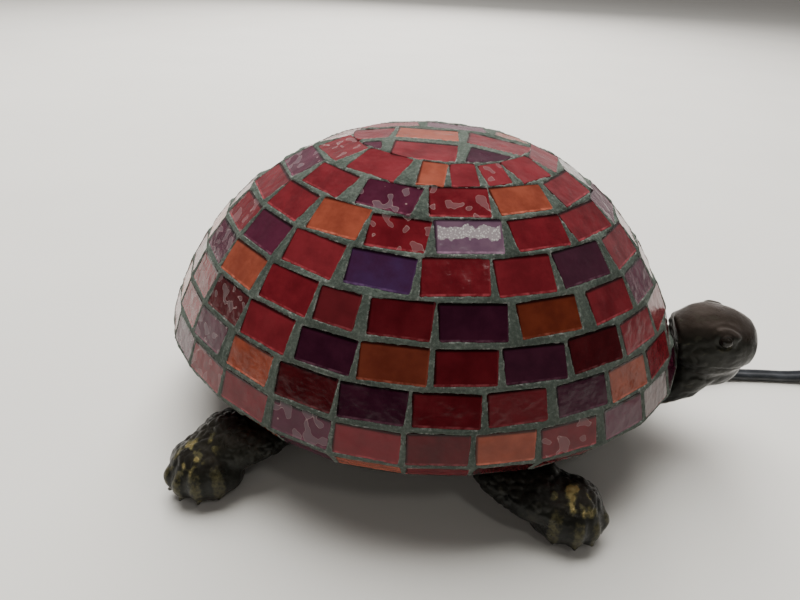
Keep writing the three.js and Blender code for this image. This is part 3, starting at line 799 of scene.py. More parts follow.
class Meridian:
    """The shell's section from the rim to the crown: its share and height against length along it."""

    def __init__(self):
        low = np.linspace(RIM_Z, SHELL["widest_z"], 60, endpoint=False)
        share = np.linspace(float(shell_share(SHELL["widest_z"])), 0, 900)
        high = SHELL["crown"] * (1 - share ** SHELL["fullness"]) ** (1 / SHELL["slope"])
        self.share = np.concatenate([shell_share(low), share])
        self.z = np.concatenate([low, high])
        steps = np.hypot(np.diff(self.share) * SHELL["half_width"], np.diff(self.z))
        self.length = np.concatenate([[0], np.cumsum(steps)])

    def at(self, length):
        return np.interp(length, self.length, self.share), np.interp(length, self.length, self.z)

    def length_at(self, z):
        return np.interp(z, self.z, self.length)


MERIDIAN = Meridian()


def read_tiles(pattern):
    """Turns a pattern into (colour letter, width, puddles, joint before it)."""
    tiles = []
    joint = JOINT
    for word in pattern.split():
        if word == ".":
            joint += WIDER_JOINT
            continue
        mark = next((m for m in "-=" if m in word), "capital" if word[0].isupper() else "")
        tiles.append((word[0].lower(), WIDTHS[mark], "*" in word, joint))
        joint = JOINT
    return tiles


def fill_course(tiles, room, dice):
    """Adds tiles of random colour and slightly uneven width until the course closes."""
    count = round(room / (WIDTHS[""] + JOINT))
    share = np.array([dice.uniform(0.9, 1.1) for _ in range(count)])
    widths = share / share.sum() * (room - count * JOINT)
    last = tiles[-1][0]
    for width in widths:
        tint = dice.choice([t for t in HIDDEN_TINTS if t != last or t == "r"])
        tiles.append((tint, float(width), dice.random() < HIDDEN_PUDDLED, JOINT))
        last = tint


class Tile:
    """One flat tile: a corner outline in its own plane, set on the shell."""

    def __init__(self, corners, tint, puddles, dice):
        corners = np.asarray(corners, float)
        self.tint = tint
        self.puddles = puddles
        self.seed = dice.random()
        self.centre = corners.mean(axis=0)
        around = np.roll(corners, -1, axis=0)
        normal = unit(np.cross(corners - self.centre, around - self.centre).sum(axis=0))
        across = X if abs(normal[2]) > 0.9 else corners[1] - corners[0]
        across = unit(across - normal * across.dot(normal))
        lean = dice.gauss(0, TILE_LEAN), dice.gauss(0, TILE_LEAN)
        self.normal = unit(normal + across * lean[0] + np.cross(normal, across) * lean[1])
        self.across = unit(across - self.normal * across.dot(self.normal))
        self.up = np.cross(self.normal, self.across)
        self.centre = self.centre - normal * (TILE_SUNK + dice.uniform(*SUNK_SPREAD))
        flat = corners - self.centre
        self.outline = np.stack([flat @ self.across, flat @ self.up], axis=1)

    def point(self, flat, depth=0.0):
        flat = np.asarray(flat)
        return self.centre + flat[:, :1] * self.across + flat[:, 1:] * self.up - self.normal * depth


def lay_courses(dice):
    """Places every tile of the courses; returns them by course, with their edges for the grout."""
    courses = []
    for low, high, start, pattern in COURSES:
        middle = Girth((low + high) / 2)
        rings = Girth(low), Girth(high)
        tiles = read_tiles(pattern)
        used = sum(width + joint for _, width, _, joint in tiles)
        fill_course(tiles, middle.total - used, dice)
        edge = start - tiles[0][3]
        laid = []
        for tint, width, puddles, joint in tiles:
            centre = (edge + joint + width / 2) / middle.total
            edge += joint + width
            corners = []
            for ring, z, ways in ((rings[0], low, (-1, 1)), (rings[1], high, (1, -1))):
                for way in ways:
                    length = centre * ring.total + way * (width / 2 + dice.uniform(*WIDTH_SPREAD))
                    height = z + (SPREAD if z == high else -SPREAD) + dice.uniform(-UNEVEN, UNEVEN)
                    corners.append(shell_point(shell_share(height), height, ring.angle(length)))
            laid.append(Tile(corners, tint, puddles, dice))
        courses.append(laid)
    return courses


def clip_convex(polygon, window):
    """Clips a polygon to a convex window; both go round anticlockwise."""
    for a, b in zip(window, np.roll(window, -1, axis=0)):
        edge = b - a
        side = [edge[0] * (p[1] - a[1]) - edge[1] * (p[0] - a[0]) for p in polygon]
        kept = []
        for i, here in enumerate(polygon):
            before = i - 1
            if (side[i] > 0) != (side[before] > 0):
                share = side[before] / (side[before] - side[i])
                kept.append(polygon[before] + share * (here - polygon[before]))
            if side[i] > 0:
                kept.append(here)
        polygon = kept
        if len(polygon) < 3:
            return []
    return polygon


def drop_close_points(polygon, nearest=1.2):
    kept = []
    for p in polygon:
        if not kept or np.linalg.norm(p - kept[-1]) > nearest:
            kept.append(p)
    if len(kept) > 1 and np.linalg.norm(kept[0] - kept[-1]) <= nearest:
        kept.pop()
    return kept


def crown_height(x, y):
    """Height of the shell's crown over a point of its plan, found by halving."""
    low, high = 0.0, 0.6
    for _ in range(30):
        share = (low + high) / 2
        centre = SHELL["centre_x"] + SHELL["skew"] * (1 - share)
        reach = SHELL["front"] if x > centre else SHELL["rear"]
        along = abs(x - centre) / reach
        across = abs(y) / SHELL["half_width"]
        inside = along ** SHELL["outline"] + across ** SHELL["outline"] < share ** SHELL["outline"]
        low, high = (low, share) if inside else (share, high)
    return SHELL["crown"] * (1 - share ** SHELL["fullness"]) ** (1 / SHELL["slope"])


def lay_cap(dice):
    """The irregular tiles on the crown: short rows, trimmed to the oval inside the last course."""
    window = shell_ring(float(shell_share(CAP_JOINT_Z)), CAP_JOINT_Z, 40)[:, :2]
    laid = []
    for near, far, start, pattern in CAP_ROWS:
        x = start
        for tint, width, puddles, _ in read_tiles(pattern):
            slant = dice.uniform(-CAP_SLANT, CAP_SLANT)
            end = x + width + CAP_WIDER
            corners = [(x, near), (end, near), (end + slant, far), (x + slant * 0.5, far)]
            x = end + JOINT
            shape = drop_close_points(clip_convex([np.array(p) for p in corners], window))
            if len(shape) > 2 and (np.ptp(shape, axis=0) >= CAP_SMALLEST).all():
                laid.append(Tile([(*p, crown_height(*p)) for p in shape], tint, puddles, dice))
    return laid


def rounded_outline(outline, radius, inset=0.0):
    """The outline pulled in by `inset`, with its corners cut to arcs of three points."""
    count = len(outline)
    points = []
    for i in range(count):
        here = outline[i]
        to_last = outline[i - 1] - here
        to_next = outline[(i + 1) % count] - here
        spans = np.linalg.norm(to_last), np.linalg.norm(to_next)
        to_last, to_next = to_last / spans[0], to_next / spans[1]
        sine = abs(to_last[0] * to_next[1] - to_last[1] * to_next[0])
        corner = here + (to_last + to_next) * inset / max(sine, 0.35)
        cut = min(radius, 0.3 * min(spans))
        points += [corner + to_last * cut, corner + (to_last + to_next) * cut * 0.27, corner + to_next * cut]
    return np.array(points)


def add_tiles(name, tiles, *nodes):
    letters = sorted({tile.tint for tile in tiles})
    shapes, tints, places, sizes = [], [], [], []
    for tile in tiles:
        edge = rounded_outline(tile.outline, CORNER)
        face = rounded_outline(tile.outline, CORNER, TILE_BEVEL)
        shape = loft([tile.point(edge, TILE_THICK), tile.point(edge, TILE_BEVEL), tile.point(face)])
        shapes.append(shape)
        tints += [letters.index(tile.tint)] * len(shape[1])
        low = tile.outline.min(axis=0)
        flat = np.concatenate([edge, edge, face]) - low
        places.append(np.insert(flat, 2, tile.seed, axis=1))
        sizes.append(np.tile([*(tile.outline.max(axis=0) - low), float(tile.puddles)], (len(flat), 1)))
    made = make_object(name, *joined(shapes), [GLASS[t] for t in letters], crease=28)
    made.data.polygons.foreach_set("material_index", tints)
    set_values(made, "tile_place", np.concatenate(places))
    set_values(made, "tile_size", np.concatenate(sizes))
    piece(made, "shell", "red_glass", *nodes)


def tile_depth(tiles, points, normals):
    """For surface points: how far inside the nearest tile each is, and how high the tiles' faces stand."""
    best = np.full(len(points), -9.0)
    weights = np.full(len(points), 1e-9)
    heights = np.zeros(len(points))
    for tile in tiles:
        offset = points - tile.centre
        near = np.flatnonzero((offset ** 2).sum(axis=1) < GROUT_REACH ** 2)
        if not len(near):
            continue
        offset = offset[near]
        flat = np.stack([offset @ tile.across, offset @ tile.up], axis=1)
        inside = np.full(len(near), 9.0)
        for a, b in zip(tile.outline, np.roll(tile.outline, -1, axis=0)):
            edge = (b - a) / np.linalg.norm(b - a)
            inside = np.minimum(inside, edge[0] * (flat[:, 1] - a[1]) - edge[1] * (flat[:, 0] - a[0]))
        facing = np.maximum(normals[near] @ tile.normal, 0.4)
        height = np.clip(-(offset @ tile.normal) / facing, -1.4, 0.6)
        weight = np.exp(np.minimum(inside, 2) / 0.5)
        best[near] = np.maximum(best[near], inside)
        weights[near] += weight
        heights[near] += weight * height
    return best, heights / weights


def cloud(points, scale, seed):
    """Smooth noise from -1 to 1 at points in millimetres; `scale` is the size of its features."""
    shift = Vector((seed * 17.3, seed * 5.1, seed * 9.7))
    return np.array([noise.noise(Vector(p) / scale + shift) for p in points])


def lattice_rows():
    """Rows of points on the shell from the rim to the crown, with fewer points as the rows shorten."""
    middle = Girth(SHELL["widest_z"])
    rows = []
    for length in np.arange(0, MERIDIAN.length[-1] - 0.8, GRID["spacing"]):
        share, z = MERIDIAN.at(length)
        count = GRID["most"]
        while share * GRID["girth"] / count < GRID["spacing"] * 0.62 and count > GRID["fewest"]:
            count //= 2
        columns = middle.angle(np.arange(count) / count * middle.total)
        rows.append((float(share), float(z), columns))
    return rows


def stitch(counts):
    """Faces between rows that have equal counts, or where the upper row has half the points."""
    faces = []
    base = 0
    for here, above in zip(counts, counts[1:]):
        top = base + here
        if here == above:
            faces += [(base + i, base + (i + 1) % here, top + (i + 1) % here, top + i) for i in range(here)]
        else:
            for j in range(above):
                i = 2 * j
                faces.append((base + i, base + i + 1, base + (i + 2) % here, top + (j + 1) % above, top + j))
        base = top
    faces.append(tuple(range(base, base + counts[-1])))
    return faces


def thicken(points, inner, faces):
    """Closes a skin with an inner copy and walls along its open edges."""
    count = len(points)
    used = dict.fromkeys(edge for face in faces for edge in zip(face, face[1:] + face[:1]))
    walls = [(b, a, a + count, b + count) for a, b in used if (b, a) not in used]
    inside = [tuple(i + count for i in reversed(face)) for face in faces]
    return np.concatenate([points, inner]), faces + inside + walls


def grout_rise(depth, ragged, worn):
    """Height of the grout over the tiles' faces, against how far inside a tile a point is."""
    depth = depth + 0.24 * ragged
    lip = np.exp(-(np.maximum(-depth, 0) / 0.55) ** 2)
    joint = -0.16 + (0.34 + 0.16 * worn) * lip
    under = joint - 1.5 * np.maximum(depth, 0)
    return np.clip(under, -1.15, None), lip


def add_grout(tiles):
    rows = lattice_rows()
    ring = [shell_point(share, z, columns) for share, z, columns in rows]
    points = np.concatenate(ring)
    beside = np.concatenate([shell_point(share, z, columns + 0.004) for share, z, columns in rows])
    lengths = MERIDIAN.length_at([z for _, z, _ in rows]) + 0.4
    share_up, z_up = MERIDIAN.at(lengths)
    above = np.concatenate([shell_point(s, z, row[2]) for s, z, row in zip(share_up, z_up, rows)])
    normals = np.cross(beside - points, above - points)
    normals /= np.maximum(np.linalg.norm(normals, axis=1), 1e-9)[:, None]
    depth, face_height = tile_depth(tiles, points, normals)
    ragged = cloud(points, 1.7, 1) + 0.5 * cloud(points, 0.7, 2)
    worn = cloud(points, 5.0, 3)
    rise, lip = grout_rise(depth, ragged, worn)
    rise = rise + face_height + 0.05 * cloud(points, 0.9, 4)
    counts = [len(r[2]) for r in rows]
    deep = depth > UNDER_TILE
    faces = [f for f in stitch(counts) if not all(deep[i] for i in f)]
    keep = np.zeros(len(points), bool)
    keep[[i for f in faces for i in f]] = True
    new_index = np.cumsum(keep) - 1
    faces = [tuple(int(new_index[i]) for i in f) for f in faces]
    outer = (points + normals * rise[:, None])[keep]
    inner = (points - normals * GROUT_DEPTH)[keep]
    all_points, all_faces = thicken(outer, inner, faces)
    made = make_object("shell_grout", all_points, all_faces, [FINISHES["grout"]], crease=70)
    set_values(made, "lip", np.concatenate([lip[keep], np.zeros(keep.sum())]))
    piece(made, "shell", "grout", *[f"grout_ring_{k}" for k in range(1, 8)])


def add_liner():
    """The clear frosted bowl that the tiles are glued to."""
    sides = 96

    def wall(inset):
        lengths = np.linspace(0, MERIDIAN.length[-1] - 3, 44)
        heights = [min(float(MERIDIAN.at(v)[1]), SHELL["crown"] - inset - 0.25) for v in lengths]
        return [shell_ring(float(shell_share(z, inset)), z, sides, inset) for z in dict.fromkeys(heights)]

    bowl = loft(wall(LINER_OUTSIDE)[::-1] + wall(LINER_INSIDE))
    part("shell_bowl", bowl, "liner", "shade_liner", body="shell", crease=50)


def add_mosaic():
    dice = random.Random(MOSAIC_SEED)
    courses = lay_courses(dice)
    cap = lay_cap(dice)
    for k, tiles in enumerate(courses[:-1]):
        add_tiles(f"tiles_course_{k}", tiles, f"tile_course_{k}")
    add_tiles("tiles_crown", courses[-1] + cap, "crown_tiles")
    add_grout([tile for course in courses for tile in course] + cap)
    add_liner()


add_mosaic()


# ---- Bronze castings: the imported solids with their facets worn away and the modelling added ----
SOLE_Z = 1.3
SOFT_VOXEL = 1.3
SOFT_WEAR = 16


def node_shape(name):
    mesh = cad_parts[name].data
    return np.array([v.co for v in mesh.vertices]) / MM, [tuple(p.vertices) for p in mesh.polygons]


def blob(centre, radii, turn=0.0, tip=0.0, sides=28, rows=14):
    """An ellipsoid, turned about Z and tipped down along its own X, in degrees."""
    angles = circle(sides)
    rings = []
    for r in range(1, rows):
        polar = r / rows * pi
        level = np.full(sides, -cos(polar))
        ring = [level, sin(polar) * np.cos(angles), sin(polar) * np.sin(angles)]
        rings.append(np.stack(ring, axis=1) * radii)
    points, faces = loft(rings)
    turned_by = Matrix.Rotation(radians(turn), 3, "Z") @ Matrix.Rotation(radians(tip), 3, "Y")
    return points @ np.array(turned_by).T + np.array(centre), faces


def melted(name, shapes, voxel, wear):
    """Joins closed shapes into one even skin, `voxel` millimetres fine, worn down by `wear` rounds."""
    made = make_object(name, *joined(shapes), [FINISHES["bronze"]])
    remesh = made.modifiers.new("remesh", "REMESH")
    remesh.mode = "VOXEL"
    remesh.voxel_size = voxel * MM
    smooth = made.modifiers.new("smooth", "SMOOTH")
    smooth.iterations = wear
    baked(made)
    made.data.shade_smooth()
    return made


def mesh_arrays(made):
    mesh = made.data
    points = np.empty(len(mesh.vertices) * 3)
    normals = np.empty(len(mesh.vertices) * 3)
    mesh.vertices.foreach_get("co", points)
    mesh.vertices.foreach_get("normal", normals)
    return points.reshape(-1, 3) / MM, normals.reshape(-1, 3)


def move_points(made, points):
    made.data.vertices.foreach_set("co", (points * MM).ravel())
    made.data.update()


def pebbles(points, size, seed):
    """Rounded scales: near 1 on top of each and 0 in the creases between them."""
    shift = Vector((seed * 13.7, seed * 7.1, seed * 3.3))
    depths = []
    for p in points:
        distances = noise.voronoi(Vector(p) / size + shift)[0]
        depths.append(distances[1] - distances[0])
    return np.sqrt(np.clip(np.array(depths) / 0.55, 0, 1))


def casting(name, node, shapes, voxel, wear, detail):
    """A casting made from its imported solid: softened, added to, and then shaped by `detail`."""
    soft = melted(f"{name}_soft", [node_shape(node)], voxel * SOFT_VOXEL, SOFT_WEAR)
    points, _ = mesh_arrays(soft)
    faces = [tuple(p.vertices) for p in soft.data.polygons]
    made = melted(name, [(points, faces), *shapes], voxel, wear)
    bpy.data.objects.remove(soft)
    points, normals = mesh_arrays(made)
    rise, rub, top = detail(points, normals)
    points = points + normals * rise[:, None]
    points[:, 2] = np.maximum(points[:, 2], SOLE_Z)
    move_points(made, points)
    set_values(made, "rub", rub)
    # top: how far each point faces up, which the bronze draws lighter as dust and painted top light.
    set_values(made, "top", top)
    piece(made, "base", "bronze", node)


# How far a toe and a claw stay inside the foot's edge, their height, radii and downward tip.
TOE = (3.7, 6.0, (4.3, 3.3, 5.8), 30)
CLAW = (0.4, 2.6, (0.9, 0.7, 0.7), 16)
FEET = {
    "front": {
        "centre": (44.2, -54.8), "radius": 10.4, "toes": (-115, -80, -48, -16), "leg": (27, -50),
        "pad": (42.8, -55.4, 7.6),
    },
    "rear": {
        "centre": (-64.2, -62.5), "radius": 10.8, "toes": (-140, -108, -76, -44), "leg": (-51, -50),
        "pad": (-62.6, -62.9, 7.6),
    },
}


def add_leg(place, side):
    foot = FEET[place]
    flip = -1 if side == "left" else 1
    shapes = [blob(np.array(foot["pad"]) * (1, flip, 1), (11.3, 10.8, 9.4))]
    for degrees in foot["toes"]:
        angle = radians(degrees)
        away = np.array([cos(angle), sin(angle)])
        for back, height, radii, tip in (TOE, CLAW):
            at = (away * (foot["radius"] - back) + foot["centre"]) * (1, flip)
            shapes.append(blob((*at, height), radii, flip * degrees, tip))

    def detail(points, normals):
        like = points * (1, flip, 1)
        across = like[:, :2] - foot["centre"]
        reach = np.linalg.norm(across, axis=1)
        angle = np.degrees(np.arctan2(across[:, 1], across[:, 0]))
        toe_gap = np.min([np.abs((angle - t + 180) % 360 - 180) for t in foot["toes"]], axis=0)
        front = step(reach, 4.0, 8.0) * step(points[:, 2], 15.5, 11.0) * step(toe_gap, 50, 30)
        grooves = front * step(toe_gap, 7, 15) * step(toe_gap, 36, 22)
        scale = pebbles(like, 2.9, 1)
        scaly = (1 - front) * step(points[:, 2], 3.0, 6.0)
        rise = 0.65 * (scale - 0.6) * scaly - 0.35 * grooves
        rise += 0.10 * cloud(like, 1.6, 5) + 0.3 * cloud(like, 7.0, 6)
        patch = step(cloud(like, 4.0, 8) + 0.5 * cloud(like, 1.8, 2), -0.15, 0.3)
        instep = np.linalg.norm(across - (0, -4.5), axis=1)
        topside = step(instep, 9.5, 3.0) * step(points[:, 2], 6.0, 10.0) * (1 - 0.8 * grooves)
        toes = step(reach, 8.0, 10.5) * step(points[:, 2], 1.8, 3.2) * step(toe_gap, 12, 6)
        leg = np.linalg.norm(like[:, :2] - foot["leg"], axis=1)
        dots = step(leg, 12, 4) * step(scale, 0.75, 0.95)
        rub = np.maximum(0.85 * topside * patch, np.maximum(0.35 * toes, 0.55 * dots * patch))
        # The last value marks upward faces, which the bronze draws lighter: dust and painted top light.
        return rise, rub, 0.52 * step(normals[:, 2], 0.1, 0.9)

    casting(f"leg_{place}_{side}_cast", f"leg_{place}_{side}", shapes, 0.52, 3, detail)


EYE = np.array([87.8, 10.6, 44.0])
NOSTRIL = np.array([99.9, 1.9, 40.2])


def head_detail(points, normals):
    x, y, z = points.T
    mirrored = points * (1, 0, 1) + np.abs(y)[:, None] * Y
    from_eye = np.linalg.norm(mirrored - EYE, axis=1)
    lids = 0.3 * np.exp(-((from_eye - 3.3) / 0.6) ** 2) - 0.35 * np.exp(-((from_eye - 2.4) / 0.4) ** 2)
    brow = 0.3 * np.exp(-((from_eye - 5.2) / 0.9) ** 2) * step(z, 44.5, 47.5)
    mouth_z = 33.2 + 0.035 * np.maximum(96 - x, 0) ** 1.6 * 0.5
    mouth = step(x, 85.5, 89.0) * np.exp(-((z - mouth_z) / 0.42) ** 2)
    lip = step(x, 86.5, 90.0) * np.exp(-((z - mouth_z - 1.1) / 0.7) ** 2)
    nostril = np.exp(-(np.linalg.norm(mirrored - NOSTRIL, axis=1) / 0.75) ** 2)
    neck = step(x, 86.0, 81.0) * step(z, 44.0, 38.0)
    folds = np.sin((z * 0.8 - x * 0.45 + 0.9 * cloud(points, 6, 3)) * 2 * pi / 3.4)
    cheek = step(x, 82, 86) * step(z, 44, 38) * step(x, 97, 92)
    rise = lids + brow - 0.38 * mouth + 0.12 * lip - 0.6 * nostril
    scale = pebbles(points, 3.2, 2) - 0.7
    rise += neck * (0.14 * folds + 0.3 * scale)
    rise += 0.22 * cloud(points, 5.0, 9) + 0.08 * cloud(points, 1.8, 4)
    rise += 0.2 * cheek * scale
    patch = step(cloud(points, 3.5, 11), 0.1, 0.45)
    rub = 0.5 * neck * patch * step(folds, 0.0, 0.8) + 0.25 * step(from_eye, 5.0, 3.6) * patch
    # The last value marks upward faces on the upper head, which the bronze draws lighter: dust and painted
    # top light.
    return rise, rub, step(normals[:, 2], 0.15, 0.8) * step(z, 36, 44)


def tail_detail(points, normals):
    rise = 0.4 * (pebbles(points, 2.8, 3) - 0.6) * step(points[:, 0], -66, -72) + 0.15 * cloud(points, 3, 2)
    rub = 0.5 * step(points[:, 0], -88, -99) * step(cloud(points, 3.0, 5), -0.1, 0.3)
    # The last value marks upward faces, which the bronze draws lighter: dust and painted top light.
    return rise, rub, 0.4 * step(normals[:, 2], 0.2, 0.9)


def add_castings():
    for place in FEET:
        for side in ("right", "left"):
            add_leg(place, side)
    brows = [blob((88.6, flip * 9.0, 45.6), (4.0, 2.2, 1.4), flip * 8, 12) for flip in (1, -1)]
    lids = [blob(EYE * (1, flip, 1) - (0, 1.5 * flip, 0), (3.5, 3.0, 3.1)) for flip in (1, -1)]
    casting("head_cast", "head_and_neck", brows + lids, 0.48, 4, head_detail)
    casting("tail_cast", "tail", [], 0.5, 3, tail_detail)


# ---- Base: cast pan, felt pads, screws and the lamp holder ----
PAN_PROFILE = [
    (0.62, 10), (0.7, 11.5), (0.745, 14.5), (0.79, 19.6), (0.858, 20.6), (0.858, 22.3), (0.797, 22.3),
    (0.797, 26.5), (0.767, 26.5), (0.763, 21), (0.71, 15.6), (0.69, 13.8), (0.6, 13),
]
SHARE_MM = 85
BUSHING = (30, 13.4)
BUSHING_BOSS = [(5.5, 45.6), (7, 46), (7, 62), (5.5, 62)]
GROMMET = [(3.2, 50), (4.3, 50), (4.3, 62.3), (6.4, 62.3), (6.4, 63.8), (3.2, 63.8)]
PAD_EDGE = [(6.6, 0), (7, 0), (7, 1), (6.6, 1)]
BRACKET_HOLE = (-50, 0)
BRACKET_SIDE = [(-40, 13.3), (-64, 13.3), (-64, 49), (-62.8, 49), (-62.8, 14.5), (-40, 14.5)]
SCREW_SPOTS = {
    "leg_front_right": (17, -37), "leg_front_left": (17, 37),
    "leg_rear_right": (-42, -30), "leg_rear_left": (-42, 30), "neck": (46, 0),
}
# Heights of the head's underside and of the tip, radii of the head and the shank, and the slot's width.
PAN_SCREW = {"head_low": 13.3, "tip": 6.2, "head": 3.1, "shank": 1.2, "slot": 0.8}
BRACKET_SCREW = {"head_low": 14.8, "tip": 2.1, "head": 3.4, "shank": 1.5, "slot": 0.9}
SCREW_HEAD_TALL = 2.0

# The holder and the bulb are turned about a level line; each outline is (radius, x).
BULB_AXIS = (0, 40)
CAP_PITCH = 2.82
HOLDER_BODY = [
    (0.3, -68.5), (5, -68.5), (5, -62.5), (10.5, -62.5), (10.5, -30), (7.3, -30), (7.3, -50), (0.3, -50),
]
HOLDER_NUT = [(5.3, -67), (8.4, -67), (8.4, -64.3), (5.3, -64.3)]
HOLDER_SHELL = [(6.4, -48), (7, -48), (7, -30.6), (6.4, -30.6), (6.4, -47.9)]
HOLDER_CONTACT = [(0.2, -49.7), (3, -49.7), (3, -49.3), (1.4, -48.8), (0.2, -48.75)]
BULB_GLASS = [
    (5.9, -31.2), (7.2, -27), (9.4, -22), (10.5, -16.5), (9.9, -10), (7.9, -4), (4.9, 1.5), (2.2, 4.6),
    (0.1, 5.8),
]
GLASS_THICK = 0.8
BULB_CAP = [
    (0.2, -48.4), (1.9, -48.4), (2.2, -47.2), (3.4, -47.2), (5.95, -45), (5.95, -31.5), (0.2, -31.5),
]
BULB_STEM = [(0.2, -31.2), (4, -31.2), (2, -27), (1.3, -18), (0.2, -18)]
FILAMENT_ARCH = [(-17.6, -3.2, 40), (-12, -3, 40), (-8.4, 0, 40), (-12, 3, 40), (-17.6, 3.2, 40)]
FILAMENT = {"step": 0.12, "turn": 0.85, "coil": 0.32, "wire": 0.1, "leg_wire": 0.2}

SUPPLY_LEAD = [
    (49.5, 30, 15.4), (40, 30, 16.6), (24, 28, 16.4), (0, 26, 16), (-26, 25, 16), (-48, 22, 16.6),
    (-63, 14, 20), (-70, 7, 28), (-71.5, 1, 36),
]
# Stops along the strain relief: where it is, and half its width and height there.
RELIEF = np.array([
    (64.1, 30, 13.4, 5.2, 4.4), (66.5, 30, 13.4, 5.1, 4.3), (72, 30.2, 12.6, 4.7, 3.8),
    (81, 30.9, 10.6, 4.1, 3), (90, 32, 8, 3.5, 2.2),
])
RELIEF_RIBS = {"pitch": 2.6, "depth": 0.13}


def add_pan():
    profile = filleted([(share * SHARE_MM, z) for share, z in PAN_PROFILE], 0.9)
    rings = [shell_ring(reach / SHARE_MM, z, 144) for reach, z in profile]
    pan = outward(make_object("pan_cast", *loft(rings), [FINISHES["bronze"]]))
    carve(pan, [turned(filleted(BUSHING_BOSS, 0.5), BUSHING, sides=40)], "UNION")
    holes = [turned([(1.9, 5), (1.9, 20)], spot, "Z", 20) for spot in (*SCREW_SPOTS.values(), BRACKET_HOLE)]
    carve(pan, [turned([(4.6, 40), (4.6, 70)], BUSHING), *holes])
    crisp(pan, 38)
    points, _ = mesh_arrays(pan)
    set_values(pan, "rub", 0.3 * step(points[:, 2], 21.5, 22.4))
    set_values(pan, "top", np.zeros(len(points)))
    piece(pan, "base", "bronze", "base_pan")


def add_pads():
    for place, foot in FEET.items():
        for side, flip in (("right", 1), ("left", -1)):
            shape = turned(filleted(PAD_EDGE, 0.25), np.multiply(foot["centre"], (1, flip)), "Z")
            part(f"felt_{place}_{side}", shape, "felt", f"foot_pad_{place}_{side}", crease=50)


def slotted_screw(name, spot, sizes, node):
    """A domed slotted screw with a cut thread, standing in the pan."""
    low, tip, head, shank, slot = (sizes[key] for key in ("head_low", "tip", "head", "shank", "slot"))
    top = low + SCREW_HEAD_TALL
    dome = [(shank, low), (head, low), (head, low + SCREW_HEAD_TALL * 0.55), (head * 0.7, top), (0.3, top)]
    point = [(0.3, tip), (shank * 0.6, tip), (shank, tip + 0.6)]
    path = resampled(np.concatenate([point, filleted(dome, 0.5)]), 0.12)
    shape = turned(path, spot, "Z", 40, thread(tip + 0.4, low - 0.3, 0.7, 0.22))
    screw = outward(make_object(name, *shape, [FINISHES["steel"]]))
    x, y = spot
    carve(screw, [block((x - 5, y - slot / 2, top - 0.8), (x + 5, y + slot / 2, top + 1))])
    piece(crisp(screw, 40), "base", "steel", node)


def add_fasteners():
    for name, spot in SCREW_SPOTS.items():
        slotted_screw(f"slotted_{name}", spot, PAN_SCREW, f"screw_{name}")
    slotted_screw("bracket_bolt", BRACKET_HOLE, BRACKET_SCREW, "bracket_screw")
    corners = circle(6)
    hexagon = np.stack([np.cos(corners), np.sin(corners)], axis=1)
    nut = standing(hexagon * 3.6 + BRACKET_HOLE, 2.1, 4.7)
    hole = turned([(1.8, 0), (1.8, 8)], BRACKET_HOLE, "Z", 28)
    machined("bracket_hex_nut", nut, "steel", "bracket_nut", 0.25, 3, [hole])


def add_holder():
    bracket = standing(filleted(BRACKET_SIDE, 1.1, True), -8, 8, 1)
    holes = [
        turned([(5.3, -70), (5.3, -55)], BULB_AXIS),
        turned([(1.9, 5), (1.9, 25)], BRACKET_HOLE, "Z", 28),
    ]
    machined("bracket_plate", bracket, "steel", "holder_bracket", 0.2, 2, holes)

    def flutes(along, angle):
        band = step(along, -59, -57.5) * step(along, -36, -37.5)
        return band * 0.5 * (0.5 - 0.5 * np.cos(angle * 24))

    def pressed(along, angle):
        return -0.9 * thread(-47.5, -31, CAP_PITCH, 0.2)(along, angle)

    body = turned(resampled(filleted(HOLDER_BODY, 0.7), 0.7), BULB_AXIS, "X", 192, flutes)
    part("socket_body", body, "phenolic", "lamp_holder", crease=40)
    nut = turned(HOLDER_NUT, BULB_AXIS, "X", 6, loop=True)
    machined("socket_nut", nut, "steel", "holder_locknut", 0.3, 3)
    shell = turned(resampled(HOLDER_SHELL, 0.25), BULB_AXIS, "X", 64, pressed, loop=True)
    part("socket_thread", shell, "brass", "screw_shell", crease=50)
    tongue = turned(filleted(HOLDER_CONTACT, 0.2), BULB_AXIS)
    part("socket_contact", tongue, "brass", "centre_contact", crease=50)


def filament_shape():
    """A coiled wire bent to an arch, and the ends of its two supports."""
    arch = smooth_route(FILAMENT_ARCH, FILAMENT["step"])
    inward = np.cross(tangents(arch), Z)
    turn = np.arange(len(arch)) * FILAMENT["turn"]
    coil = arch + FILAMENT["coil"] * (np.cos(turn)[:, None] * inward + np.sin(turn)[:, None] * Z)
    ends = [[(-18.2, s * 0.7, 40), (-17.9, s * 2, 40), (-17.6, s * 3.2, 40)] for s in (-1, 1)]
    legs = [wire(smooth_route(end, 0.3), FILAMENT["leg_wire"]) for end in ends]
    return joined([wire(smooth_route(coil, FILAMENT["step"]), FILAMENT["wire"], 6), *legs])


def add_bulb():
    """A small pear-shaped lamp with a screw cap."""
    outside = smooth_route([(radius, x, 0) for radius, x in BULB_GLASS], 0.5)[:, :2]
    hollow = np.maximum(outside[:, 0] - GLASS_THICK, 0.08)
    inside = np.stack([hollow, np.minimum(outside[:, 1], 5.0)], axis=1)[::-1]
    envelope = turned(np.concatenate([inside, outside]), BULB_AXIS, "X", 64)
    part("bulb_envelope", envelope, "clear_glass", "bulb_glass", body="bulb", crease=60)
    cap = resampled(filleted(BULB_CAP, 0.5), 0.2)
    screwed = turned(cap, BULB_AXIS, "X", 64, thread(-45, -33.5, CAP_PITCH, 0.45))
    part("bulb_base", screwed, "brass", "bulb_cap", body="bulb", crease=50)
    stem = turned(filleted(BULB_STEM, 0.8), BULB_AXIS, "X", 32)
    part("bulb_mount", stem, "clear_glass", "bulb_stem", body="bulb", crease=50)
    part("bulb_coil", filament_shape(), "tungsten", "filament", body="bulb")


